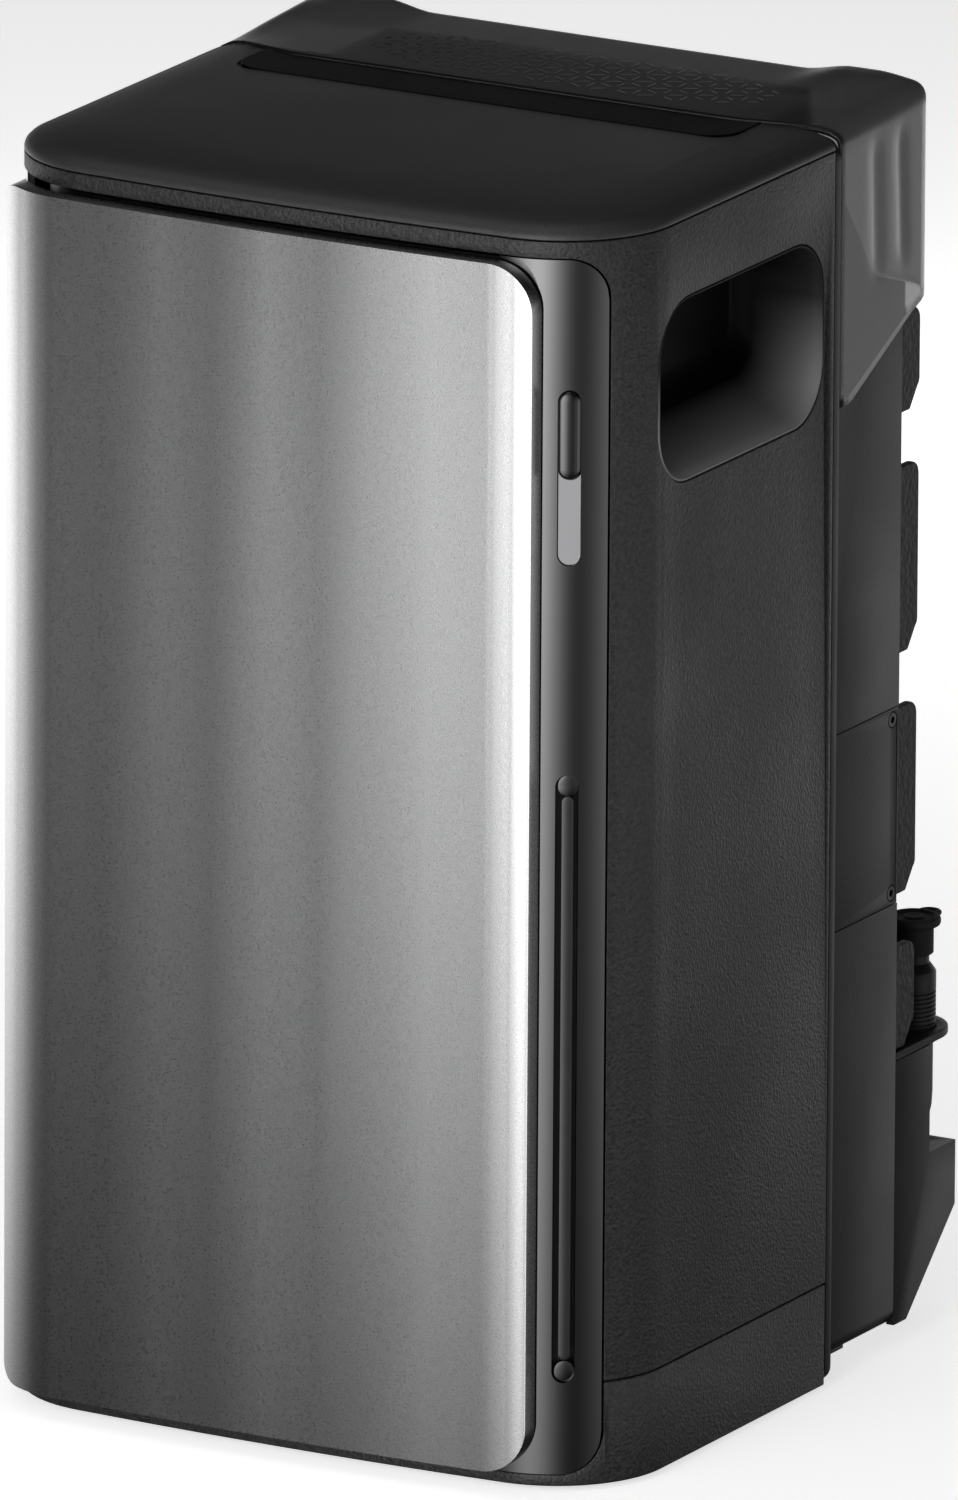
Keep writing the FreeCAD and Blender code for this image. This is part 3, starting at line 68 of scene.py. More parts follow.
def wall_tone(bearing, z):
    """Brightness of the wall at a bearing and a height."""
    tone = 0
    for light in SOFT_LIGHTS:
        aside = (bearing - light["bearing"] + 180) % 360 - 180
        above = z - light["height"]
        tone += light["bright"] * math.exp(-(aside / light["width"]) ** 2 - (above / light["tall"]) ** 2)
    return tone


room = bpy.data.worlds.new("room")
room.use_nodes = True
room.node_tree.nodes["Background"].inputs["Color"].default_value = ROOM_TONE
bpy.context.scene.world = room

wall_mesh = bpy.data.meshes.new("soft_walls")
wall_build = bmesh.new()
glow_layer = wall_build.verts.layers.float_color.new("glow")
rows = []
for step in range(24):
    z = WALL_SPAN[0] + (WALL_SPAN[1] - WALL_SPAN[0]) * step / 23
    row = []
    for pane in range(WALL_PANES):
        bearing = -180 + 360 * pane / WALL_PANES
        side, forward = math.sin(math.radians(bearing)), -math.cos(math.radians(bearing))
        corner = wall_build.verts.new((WALL_RADIUS * side, WALL_RADIUS * forward, z))
        level = wall_tone(bearing, z) / 4
        corner[glow_layer] = (level, level, level, 1)
        row.append(corner)
    rows.append(row)
for low, high in zip(rows, rows[1:]):
    for pane in range(WALL_PANES):
        after = (pane + 1) % WALL_PANES
        wall_build.faces.new((low[after], low[pane], high[pane], high[after]))
wall_build.to_mesh(wall_mesh)
wall_build.free()
wall_glow = bpy.data.materials.new("wall_glow")
wall_glow.use_nodes = True
wall_tree = wall_glow.node_tree
wall_tree.nodes.remove(wall_tree.nodes["Principled BSDF"])
painted = wall_tree.nodes.new("ShaderNodeVertexColor")
painted.layer_name = "glow"
lamp = wall_tree.nodes.new("ShaderNodeEmission")
lamp.inputs["Strength"].default_value = 4
wall_tree.links.new(painted.outputs["Color"], lamp.inputs["Color"])
wall_tree.links.new(lamp.outputs[0], wall_tree.nodes["Material Output"].inputs["Surface"])
wall_mesh.materials.append(wall_glow)
soft_walls = bpy.data.objects.new("soft_walls", wall_mesh)
soft_walls.visible_camera = False
soft_walls.visible_transmission = False
soft_walls.visible_shadow = False
bpy.context.scene.collection.objects.link(soft_walls)

overhead = bpy.data.lights.new("overhead_panel", "AREA")
overhead.shape = "RECTANGLE"
overhead.size, overhead.size_y, overhead.energy = 1.6, 1.2, 4
overhead_holder = bpy.data.objects.new("overhead_panel", overhead)
overhead_holder.location = (-0.3, -0.2, 2.2)
downward = Vector((0, 0, 0.4)) - overhead_holder.location
overhead_holder.rotation_euler = downward.to_track_quat("-Z", "Y").to_euler()
overhead_holder.visible_camera = False
bpy.context.scene.collection.objects.link(overhead_holder)

floor_mesh = bpy.data.meshes.new("floor")
floor_mesh.from_pydata(
    [(x * FLOOR_HALF, y * FLOOR_HALF, 0) for x, y in ((-1, -1), (1, -1), (1, 1), (-1, 1))],
    [], [(0, 1, 2, 3)],
)
floor = bpy.data.objects.new("floor", floor_mesh)
bpy.context.scene.collection.objects.link(floor)
floor_paint = bpy.data.materials.new("floor_paint")
floor_paint.use_nodes = True
floor_shader = floor_paint.node_tree.nodes["Principled BSDF"]
floor_shader.inputs["Base Color"].default_value = FLOOR_TONE
floor_shader.inputs["Roughness"].default_value = 0.9
floor_shader.inputs["Specular IOR Level"].default_value = 0.1
floor_shader.inputs["Emission Color"].default_value = FLOOR_TONE
floor_shader.inputs["Emission Strength"].default_value = 0.72
floor_mesh.materials.append(floor_paint)
floor.visible_glossy = False
floor.visible_diffuse = False

lens = bpy.data.cameras.new("lens")
lens.lens = LENS_LENGTH
lens.sensor_width = 36
lens.shift_x, lens.shift_y = LENS_SHIFT
lens.clip_start, lens.clip_end = 0.5, 200
around, above = math.radians(LENS_PLACE["around"]), math.radians(LENS_PLACE["above"])
back = Vector((math.sin(around) * math.cos(above), -math.cos(around) * math.cos(above), math.sin(above)))
lens_holder = bpy.data.objects.new("lens", lens)
turn = (-back).to_track_quat("-Z", "Y").to_matrix().to_4x4()
lean = Matrix.Rotation(math.radians(LENS_PLACE["lean"]), 4, "Z")
lens_holder.matrix_world = Matrix.Translation(LENS_AIM + back * LENS_PLACE["distance"]) @ turn @ lean
bpy.context.scene.collection.objects.link(lens_holder)
bpy.context.scene.camera = lens_holder
bpy.context.scene.view_settings.view_transform = "Standard"


# ---------------------------------------------------------------------------------------
# Lid: the top cover, an injection moulding in dark grey ABS with a satin, very fine spark
# texture. It snaps down over the case and its rim rolls over into the sides.
LID_TONE = (0.036, 0.036, 0.038, 1)


def finish(name, tone, roughness, metallic=0.0, specular=0.5, coat=0.0):
    """A new material: its shader's steady values, and where a point is on the piece in metres."""
    made = bpy.data.materials.new(name)
    made.use_nodes = True
    tree = made.node_tree
    shader = tree.nodes["Principled BSDF"]
    shader.inputs["Base Color"].default_value = tone
    shader.inputs["Roughness"].default_value = roughness
    shader.inputs["Metallic"].default_value = metallic
    shader.inputs["Specular IOR Level"].default_value = specular
    shader.inputs["Coat Weight"].default_value = coat
    shader.inputs["Coat Roughness"].default_value = 0.04
    return made, tree, shader, tree.nodes.new("ShaderNodeTexCoord").outputs["Object"]


def grain(tree, where, scale, detail=2.0, stretch=(1, 1, 1)):
    """Uneven cloud of the moulding or coating, with about `scale` lumps in a metre."""
    mapping = tree.nodes.new("ShaderNodeMapping")
    mapping.inputs["Scale"].default_value = stretch
    tree.links.new(where, mapping.inputs[0])
    cloud = tree.nodes.new("ShaderNodeTexNoise")
    cloud.inputs["Scale"].default_value = scale
    cloud.inputs["Detail"].default_value = detail
    tree.links.new(mapping.outputs[0], cloud.inputs["Vector"])
    return cloud.outputs["Fac"]


def cells(tree, where, scale, feature="SMOOTH_F1"):
    """Pebbles of a leather grain, with about `scale` in a metre."""
    pebble = tree.nodes.new("ShaderNodeTexVoronoi")
    pebble.feature = feature
    pebble.inputs["Scale"].default_value = scale
    tree.links.new(where, pebble.inputs["Vector"])
    return pebble.outputs["Distance"]


def spread(tree, value, low, high, start=0.3, end=0.7):
    """Takes an uneven value from its usual range to the range low to high."""
    ranged = tree.nodes.new("ShaderNodeMapRange")
    ranged.inputs["From Min"].default_value = start
    ranged.inputs["From Max"].default_value = end
    ranged.inputs["To Min"].default_value = low
    ranged.inputs["To Max"].default_value = high
    tree.links.new(value, ranged.inputs["Value"])
    return ranged.outputs[0]


def tint(tree, shader, value, dark, light, start=0.35, end=0.65):
    """Lets the colour drift between two tones."""
    ramp = tree.nodes.new("ShaderNodeValToRGB")
    ramp.color_ramp.elements[0].position = start
    ramp.color_ramp.elements[1].position = end
    ramp.color_ramp.elements[0].color = dark
    ramp.color_ramp.elements[1].color = light
    tree.links.new(value, ramp.inputs[0])
    tree.links.new(ramp.outputs["Color"], shader.inputs["Base Color"])


def relief(tree, shader, height, depth, strength=1.0, under=None):
    """Raises the surface by up to `depth` metres where the value is high."""
    bump = tree.nodes.new("ShaderNodeBump")
    bump.inputs["Distance"].default_value = depth
    bump.inputs["Strength"].default_value = strength
    tree.links.new(height, bump.inputs["Height"])
    if under is not None:
        tree.links.new(under, bump.inputs["Normal"])
    tree.links.new(bump.outputs[0], shader.inputs["Normal"])
    return bump.outputs[0]


def dress(material, *names):
    """Gives CAD pieces their material."""
    for name in names:
        nodes[name].data.materials.clear()
        nodes[name].data.materials.append(material)


def soften(radius, *names, segments=3, angle=28):
    """Gives the edges of CAD pieces the small radius that the real ones are made with."""
    for name in names:
        piece = nodes[name]
        weld = piece.modifiers.new("joined", "WELD")
        weld.merge_threshold = 1e-6
        edges = piece.modifiers.new("rounded", "BEVEL")
        edges.width = radius
        edges.segments = segments
        edges.limit_method = "ANGLE"
        edges.angle_limit = math.radians(angle)
        edges.use_clamp_overlap = True
        edges.harden_normals = True
        for face in piece.data.polygons:
            face.use_smooth = True


lid_paint, tree, shader, where = finish("lid_satin", LID_TONE, 0.42)
fine = grain(tree, where, 2600, 2)
relief(tree, shader, fine, 0.0001)
tree.links.new(spread(tree, grain(tree, where, 9, 3), 0.38, 0.47), shader.inputs["Roughness"])
tint(tree, shader, grain(tree, where, 2600, 1), (0.03, 0.03, 0.032, 1), (0.062, 0.062, 0.065, 1))
dress(lid_paint, "top_lid")
soften(0.003, "top_lid", segments=5)


# ---------------------------------------------------------------------------------------
# Case: the deep outer shell and the collar under it, moulded in the same dark grey with a
# coarser leather grain, and the flat base plate screwed up into them on four rubber feet.
case_paint, tree, shader, where = finish("case_leather_grain", (0.03, 0.03, 0.031, 1), 0.5)
pebbles = cells(tree, where, 900)
first = relief(tree, shader, pebbles, 0.00026)
relief(tree, shader, grain(tree, where, 420, 3), 0.0002, 0.7, first)
tree.links.new(spread(tree, grain(tree, where, 14, 4), 0.44, 0.56), shader.inputs["Roughness"])
tint(tree, shader, grain(tree, where, 700, 2), (0.017, 0.017, 0.018, 1), (0.038, 0.038, 0.04, 1))
dress(case_paint, "outer_shell", "base_collar")
soften(0.0006, "outer_shell", "base_collar")

plain_paint, tree, shader, where = finish("black_moulding", (0.01, 0.01, 0.0104, 1), 0.42, specular=0.3)
relief(tree, shader, grain(tree, where, 1500, 2), 0.00005)
tree.links.new(spread(tree, grain(tree, where, 18, 4), 0.34, 0.48), shader.inputs["Roughness"])
tint(tree, shader, grain(tree, where, 60, 3), (0.008, 0.008, 0.0085, 1), (0.013, 0.013, 0.0137, 1))
dress(plain_paint, "base_plate", "front_carrier")
soften(0.0005, "base_plate", "front_carrier")

rubber, tree, shader, where = finish("black_rubber", (0.014, 0.014, 0.014, 1), 0.72, specular=0.35)
relief(tree, shader, grain(tree, where, 2200, 3), 0.00006)
tint(tree, shader, grain(tree, where, 90, 4), (0.010, 0.010, 0.010, 1), (0.02, 0.02, 0.02, 1))
dress(rubber, "rubber_feet", "housing_gasket")
soften(0.0005, "rubber_feet")

dark_steel, tree, shader, where = finish("blackened_steel", (0.05, 0.05, 0.052, 1), 0.35, metallic=1.0)
tree.links.new(spread(tree, grain(tree, where, 300, 4), 0.25, 0.5), shader.inputs["Roughness"])
dress(dark_steel, "base_screws", "cover_screws")


# ---------------------------------------------------------------------------------------
# Front: one pressed aluminium sheet, bead-blasted and clear-anodised, bowed across its
# width and rolled round the case's left corner. It clips on to a black carrier behind it.
panel_paint, tree, shader, where = finish("blasted_aluminium", (0.62, 0.62, 0.625, 1), 0.3, metallic=1.0)
blast = grain(tree, where, 2300, 3)
relief(tree, shader, blast, 0.00004)
tree.links.new(spread(tree, grain(tree, where, 1100, 3), 0.25, 0.33), shader.inputs["Roughness"])
tint(tree, shader, blast, (0.48, 0.48, 0.485, 1), (0.62, 0.62, 0.625, 1), 0.3, 0.7)
dress(panel_paint, "front_panel")
soften(0.0022, "front_panel", segments=5, angle=40)


# ---------------------------------------------------------------------------------------
# Gloss pieces: the control strip that covers the case's right front corner and the slim
# window in the lid, both polished black acrylic over a black print.
gloss, tree, shader, where = finish("piano_black", (0.004, 0.0028, 0.0026, 1), 0.07, specular=1.0, coat=1.0)
relief(tree, shader, grain(tree, where, 35, 2), 0.00008, 0.25)
tree.links.new(spread(tree, grain(tree, where, 25, 5), 0.05, 0.11), shader.inputs["Roughness"])
dress(gloss, "light_bar_sockets")

# The strip and the buttons stand on the round corner, so each point on them has a bearing
# round the corner's centre, a height and a distance from that centre.
CORNER = 0.042
FACE = 0.0417
SKIN = 0.0025
BUTTON_BEARING = math.radians(57)
STRIP_END = math.radians(38)
STRIP_CORNER = 0.015
case_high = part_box("outer_shell")[1]
strip_low, strip_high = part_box("gloss_strip")
corner_x = case_high.x - CORNER
corner_y = strip_low.y + FACE


def on_corner(bearing, z, reach):
    """A point on the round corner, from its bearing, height and distance from the centre."""
    return (corner_x + reach * math.cos(bearing), corner_y - reach * math.sin(bearing), z)


def new_piece(name, build, material, body="case", smooth_angle=30):
    """A finished piece from a built mesh, with its flat edges kept crisp."""
    bmesh.ops.recalc_face_normals(build, faces=build.faces)
    mesh = bpy.data.meshes.new(name)
    build.to_mesh(mesh)
    build.free()
    for face in mesh.polygons:
        face.use_smooth = True
    mesh.set_sharp_from_angle(angle=math.radians(smooth_angle))
    mesh.materials.append(material)
    piece = bpy.data.objects.new(name, mesh)
    bpy.context.scene.collection.objects.link(piece)
    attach(piece, body)
    return piece


def pill(middle, width, low, high, near, far, edge, crown=0.0):
    """A pill-shaped key on the corner: straight sides, round ends, rounded edge, crowned face."""
    build = bmesh.new()
    half = width / 2

    def ring(inset, reach):
        verts = []
        for step in range(32):
            turn = 2 * math.pi * (step + 0.5) / 32
            across = (half - inset) * math.cos(turn)
            up = (half - inset) * math.sin(turn)
            z = (high - half if up > 0 else low + half) + up
            verts.append(build.verts.new(on_corner(middle - across / far, z, reach)))
        return verts

    rings = [ring(0, near)]
    for step in range(5):
        turn = math.pi / 2 * step / 4
        rings.append(ring(edge * (1 - math.cos(turn)), far - crown - edge * (1 - math.sin(turn))))
    for step in range(1, 6):
        share = step / 6
        rings.append(ring(edge + (half - edge) * share, far - crown * (1 - share) ** 2))
    for first, second in zip(rings, rings[1:]):
        for i in range(32):
            j = (i + 1) % 32
            build.faces.new((first[i], first[j], second[j], second[i]))
    build.faces.new(rings[-1])
    build.faces.new(list(reversed(rings[0])))
    return build


strip_build = bmesh.new()
LEFT_BEARING = math.radians(92)
columns = 72
strip_rows = {}
for layer, reach in (("face", FACE), ("back", FACE - SKIN)):
    lines = []
    for step in range(columns + 1):
        bearing = LEFT_BEARING + (STRIP_END - LEFT_BEARING) * step / columns
        past = max(0.0, STRIP_CORNER - (bearing - STRIP_END) * CORNER) / STRIP_CORNER
        drop = STRIP_CORNER * (1 - math.sqrt(max(0.0, 1 - past * past)))
        lines.append([strip_build.verts.new(on_corner(bearing, z, reach))
                      for z in (strip_low.z + drop, strip_high.z - drop)])
    strip_rows[layer] = lines
face_line, back_line = strip_rows["face"], strip_rows["back"]
for i in range(columns):
    strip_build.faces.new((face_line[i][0], face_line[i + 1][0], face_line[i + 1][1], face_line[i][1]))
    strip_build.faces.new((back_line[i + 1][0], back_line[i][0], back_line[i][1], back_line[i + 1][1]))
    for k in (0, 1):
        strip_build.faces.new((face_line[i][k], back_line[i][k], back_line[i + 1][k], face_line[i + 1][k]))
for i in (0, columns):
    strip_build.faces.new((face_line[i][0], face_line[i][1], back_line[i][1], back_line[i][0]))
control_strip = new_piece("control_strip", strip_build, gloss)

KEY_WIDTH = 0.008
KEY_GAP = 0.0003
tag_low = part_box("trim_tag")[0].z
key_low, key_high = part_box("power_button")
bar_slot_low, bar_slot_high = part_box("light_bar_sockets")
for low, high in ((tag_low, key_high.z), (bar_slot_low.z, bar_slot_high.z)):
    cutter = new_piece("cutter", pill(BUTTON_BEARING, KEY_WIDTH + KEY_GAP * 2, low - KEY_GAP, high + KEY_GAP,
                                      FACE - SKIN * 2, FACE + SKIN, 0.0001), gloss)
    hole = control_strip.modifiers.new("slot", "BOOLEAN")
    hole.object = cutter
    hole.solver = "EXACT"
    bpy.context.view_layer.update()
    finished = control_strip.evaluated_get(bpy.context.evaluated_depsgraph_get())
    pierced = bpy.data.meshes.new_from_object(finished)
    control_strip.modifiers.clear()
    control_strip.data = pierced
    bpy.data.objects.remove(cutter)
lip = control_strip.modifiers.new("rounded", "BEVEL")
lip.width = 0.0005
lip.segments = 3
lip.angle_limit = math.radians(40)
lip.harden_normals = True
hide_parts("gloss_strip")

key_paint, tree, shader, where = finish("button_black", (0.006, 0.006, 0.006, 1), 0.12, coat=1.0)
tree.links.new(spread(tree, grain(tree, where, 90, 4), 0.08, 0.16), shader.inputs["Roughness"])
button_key = new_piece("button_key", pill(BUTTON_BEARING, KEY_WIDTH, key_low.z, key_high.z,
                                          FACE - SKIN, FACE + 0.0016, 0.0013, 0.0003), key_paint, "button")
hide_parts("power_button")

WINDOW_CORNER = 0.012
WINDOW_TUCK = 0.0035
WINDOW_EDGE = 0.0002
window_low, window_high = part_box("display_strip")
window_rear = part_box("rain_hood")[0].y + WINDOW_TUCK


def window_outline(inset):
    """The window in plan: round front corners, and a straight rear edge under the hood."""
    outline = [(window_high.x - inset, window_rear), (window_low.x + inset, window_rear)]
    for centre_x, first in ((window_low.x + WINDOW_CORNER, 180), (window_high.x - WINDOW_CORNER, 270)):
        for step in range(13):
            turn = math.radians(first + 90 * step / 12)
            reach = WINDOW_CORNER - inset
            y = window_low.y + WINDOW_CORNER + reach * math.sin(turn)
            outline.append((centre_x + reach * math.cos(turn), y))
    return outline


window_build = bmesh.new()
rings = []
for inset, z in ((0, window_low.z), (0, window_high.z - WINDOW_EDGE), (WINDOW_EDGE, window_high.z)):
    rings.append([window_build.verts.new((x, y, z)) for x, y in window_outline(inset)])
for low, high in zip(rings, rings[1:]):
    for i in range(len(low)):
        j = (i + 1) % len(low)
        window_build.faces.new((low[i], low[j], high[j], high[i]))
window_build.faces.new(rings[-1])
window_build.faces.new(list(reversed(rings[0])))
bmesh.ops.recalc_face_normals(window_build, faces=window_build.faces)
window_mesh = bpy.data.meshes.new("display_window")
window_build.to_mesh(window_mesh)
window_build.free()
display_window = bpy.data.objects.new("display_window", window_mesh)
bpy.context.scene.collection.objects.link(display_window)
smoked_print, tree, shader, where = finish("window_black", (0.003, 0.003, 0.003, 1), 0.3, specular=0.03)
tree.links.new(spread(tree, grain(tree, where, 40, 4), 0.26, 0.34), shader.inputs["Roughness"])
window_mesh.materials.append(smoked_print)
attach(display_window, "case")
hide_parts("display_strip")

soften(0.0009, "light_bar_sockets")

tag_paint, tree, shader, where = finish("tag_satin_silver", (0.5, 0.5, 0.51, 1), 0.42, metallic=1.0)
tree.links.new(spread(tree, grain(tree, where, 3500, 2), 0.38, 0.46), shader.inputs["Roughness"])
relief(tree, shader, grain(tree, where, 3500, 2), 0.00001, 0.5)
dress(tag_paint, "trim_tag")

DIFFUSER_TONE = (0.03, 0.03, 0.032, 1)
diffuser, tree, shader, where = finish("smoked_diffuser", DIFFUSER_TONE, 0.15, specular=0.6, coat=0.6)
tree.links.new(spread(tree, grain(tree, where, 120, 4), 0.1, 0.24), shader.inputs["Roughness"])
dress(diffuser, "light_bar")
soften(0.0006, "light_bar")
dress(plain_paint, "light_channel", "button_switch")
soften(0.0004, "light_channel", "button_switch")


# ---------------------------------------------------------------------------------------
# Handles: a scooped hand recess let into each side, in smooth black plastic, with a ribbed
# rubber grip up inside it for the fingertips.
cup_paint, tree, shader, where = finish("cup_black", (0.02, 0.02, 0.021, 1), 0.5, specular=0.12)
# Painted shade and painted light: the cup's colour is near-black deep in the recess and high up inside it as
# painted shade, and a light grey on the floor near the mouth as painted light.
depth = tree.nodes.new("ShaderNodeSeparateXYZ")
tree.links.new(where, depth.inputs[0])
outward = tree.nodes.new("ShaderNodeMath")
outward.operation = "ABSOLUTE"
tree.links.new(depth.outputs["X"], outward.inputs[0])
painted_recess_shade = tree.nodes.new("ShaderNodeMath")
painted_recess_shade.operation = "MULTIPLY"
tree.links.new(spread(tree, outward.outputs[0], 0, 1, 0.100, 0.122), painted_recess_shade.inputs[0])
tree.links.new(spread(tree, depth.outputs["Z"], 1, 0.08, 0.366, 0.398), painted_recess_shade.inputs[1])
tint(tree, shader, painted_recess_shade.outputs[0], (0.0004, 0.0004, 0.0004, 1), (0.3, 0.3, 0.302, 1), 0, 1)
relief(tree, shader, grain(tree, where, 1900, 2), 0.00005)
tree.links.new(spread(tree, grain(tree, where, 24, 4), 0.44, 0.56), shader.inputs["Roughness"])

MOUTH_CORNER = 0.021
BACK_CORNER = 0.0105
SCOOP_DEPTH = 0.0315
SCOOP_FRONT = 0.012
SCOOP_REAR = 0.010
SCOOP_LIFT = 0.027
MOUTH_FRONT, MOUTH_REAR = -0.093, 0.0245
MOUTH_LOW, MOUTH_HIGH = 0.354, 0.4205


def mouth_ring(build, x, front, rear, low, high, corner):
    """A round-cornered upright ring, seen from the side of the case."""
    ring = []
    for centre_y, centre_z, first in (
        (rear - corner, high - corner, 0), (front + corner, high - corner, 90),
        (front + corner, low + corner, 180), (rear - corner, low + corner, 270),
    ):
        for step in range(13):
            turn = math.radians(first + 90 * step / 12)
            y = centre_y + corner * math.cos(turn)
            ring.append(build.verts.new((x, y, centre_z + corner * math.sin(turn))))
    return ring


def hand_cup(side, node):
    """The scoop: a fine rolled lip, walls that run in and curve over into the back."""
    build = bmesh.new()
    rings = []
    lip = ((0.0035, -0.0002), (0.0008, 0.0003), (0.00035, 0.0005), (0.0002, 0.0009), (0.0005, 0.0013))
    for back, inset in lip:
        rings.append(mouth_ring(build, side * (case_high.x - back), MOUTH_FRONT + inset, MOUTH_REAR - inset,
                                MOUTH_LOW + inset, MOUTH_HIGH - inset, MOUTH_CORNER - inset))
    for step in range(1, 15):
        share = step / 14
        deep = 0.0005 + SCOOP_DEPTH * (1 - (1 - share) ** 1.9)
        inset = lip[-1][1]
        rings.append(mouth_ring(
            build, side * (case_high.x - deep), MOUTH_FRONT + inset + SCOOP_FRONT * share,
            MOUTH_REAR - inset - SCOOP_REAR * share,
            MOUTH_LOW + inset + SCOOP_LIFT * share, MOUTH_HIGH - inset,
            MOUTH_CORNER - inset + (BACK_CORNER - MOUTH_CORNER) * share))
    count = len(rings[0])
    for first, second in zip(rings, rings[1:]):
        for i in range(count):
            j = (i + 1) % count
            build.faces.new((first[i], first[j], second[j], second[i]))
    build.faces.new(rings[-1])
    cup = new_piece(node + "_scoop", build, cup_paint, smooth_angle=60)
    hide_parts(node)


hand_cup(1, "handle_cup_right")
hand_cup(-1, "handle_cup_left")
dress(rubber, "handle_grip_right", "handle_grip_left")


# ---------------------------------------------------------------------------------------
# Rear housing: the aluminium casting that carries the inverter and sheds its heat. It is
# powder-coated fine matt black and bolts to the case through its flange.
cast_paint, tree, shader, where = finish("powder_black", (0.009, 0.009, 0.0094, 1), 0.5, specular=0.35)
relief(tree, shader, grain(tree, where, 1300, 3), 0.00006)
tree.links.new(spread(tree, grain(tree, where, 12, 4), 0.44, 0.56), shader.inputs["Roughness"])
tint(tree, shader, grain(tree, where, 1000, 2), (0.006, 0.006, 0.0063, 1), (0.012, 0.012, 0.0125, 1))
dress(cast_paint, "rear_flange", "rear_housing", "side_cover_left", "side_cover_right")
soften(0.0008, "rear_flange", "rear_housing")
soften(0.0004, "side_cover_left", "side_cover_right")

fin_paint, tree, shader, where = finish("fin_textured_black", (0.01, 0.01, 0.0104, 1), 0.55, specular=0.35)
first = relief(tree, shader, cells(tree, where, 500), 0.0003)
relief(tree, shader, grain(tree, where, 900, 3), 0.0001, 1.0, first)
tint(tree, shader, grain(tree, where, 300, 3), (0.006, 0.006, 0.0063, 1), (0.015, 0.015, 0.0157, 1))

FIN_COUNT = 15
FIN_THICKNESS = 0.003
FIN_ROOT = 0.0025
FIN_CORNER = 0.005
FIN_SLOPE = 0.007
FIN_NICK = 0.003


def fin_row(node):
    """One row of upright fins on its root plate: round top corner and a sloping lower corner."""
    low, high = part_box(node)
    build = bmesh.new()
    edge = [(low.y, low.z), (high.y - FIN_SLOPE, low.z)]
    for step in range(4):
        turn = math.radians(-60 + 60 * step / 3)
        nick_y, nick_z = high.y - FIN_NICK, low.z + FIN_SLOPE + FIN_NICK
        edge.append((nick_y + FIN_NICK * math.cos(turn), nick_z + FIN_NICK * math.sin(turn)))
    for step in range(7):
        turn = math.radians(90 * step / 6)
        bend_y, bend_z = high.y - FIN_CORNER, high.z - FIN_CORNER
        edge.append((bend_y + FIN_CORNER * math.cos(turn), bend_z + FIN_CORNER * math.sin(turn)))
    edge.append((low.y, high.z))
    places = [low.x + (high.x - low.x - FIN_THICKNESS) * i / (FIN_COUNT - 1) for i in range(FIN_COUNT)]
    for x0 in places:
        sides = [[build.verts.new((x, y, z)) for y, z in edge] for x in (x0, x0 + FIN_THICKNESS)]
        build.faces.new(sides[0])
        build.faces.new(list(reversed(sides[1])))
        for i in range(len(edge)):
            j = (i + 1) % len(edge)
            build.faces.new((sides[0][i], sides[1][i], sides[1][j], sides[0][j]))
    root = bmesh.ops.create_cube(build, size=1)["verts"]
    span = (high.x - low.x - FIN_THICKNESS, FIN_ROOT, high.z - low.z - FIN_SLOPE * 2)
    middle = ((low.x + high.x) / 2, low.y + FIN_ROOT / 2, (low.z + high.z) / 2)
    for vert in root:
        vert.co = [middle[k] + vert.co[k] * span[k] for k in range(3)]
    row = new_piece(node + "_cast", build, fin_paint)
    edges = row.modifiers.new("rounded", "BEVEL")
    edges.width = 0.0006
    edges.segments = 2
    edges.angle_limit = math.radians(50)
    edges.harden_normals = True
    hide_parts(node)


for node in ("cooling_fins_top", "cooling_fins_upper", "cooling_fins_lower", "cooling_fins_bottom"):
    fin_row(node)


# ---------------------------------------------------------------------------------------
# Rain hood: one smoky polycarbonate moulding that lies on the lid's rear and hangs over the
# housing. Its rear corners rise into two ears, and shallow channels stiffen its sides.
HOOD_FRONT_LIFT = 0.0004
HOOD_SHOULDER = 0.0075
HOOD_CORNER = 0.009
HOOD_BROW = 0.0045
HOOD_WALL = 0.0016
EAR_RISE = 0.0030
CHANNEL_DEPTH = 0.0011
CHANNELS = [(0.0615, 0.0035), (0.0795, 0.0035)]
HOOD_LOWER_EDGE = [(0.0368, 0.3545), (0.0435, 0.3545), (0.0880, 0.3772), (0.104, 0.3835)]
LID_FALL = [
    (0, 1), (0.012, 0.72), (0.045, 0.54), (0.11, 0.37), (0.22, 0.23), (0.4, 0.11), (0.65, 0.03), (1, 0),
]

hood_low, hood_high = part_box("rain_hood")
lid_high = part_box("top_lid")[1]
hood_half = hood_high.x


def eased(value, low, high):
    """0 below low, 1 above high and smooth between."""
    part = min(1, max(0, (value - low) / (high - low)))
    return part * part * (3 - 2 * part)


def along(stops, value):
    """Straight runs between (place, height) stops."""
    for (low, first), (high, second) in zip(stops, stops[1:]):
        if value <= high:
            return first + (second - first) * max(0, value - low) / (high - low)
    return stops[-1][1]


def hood_front(x):
    """The front edge runs straight behind the gloss window and sweeps back over the shoulders."""
    return hood_low.y + 0.0125 * eased(abs(x), 0.078, 0.1245) ** 1.6


def hood_rear(x):
    """The rear face in plan, with its round corners."""
    past = max(0, abs(x) - (hood_half - HOOD_CORNER))
    return hood_high.y - HOOD_CORNER + math.sqrt(max(0, HOOD_CORNER ** 2 - past ** 2))


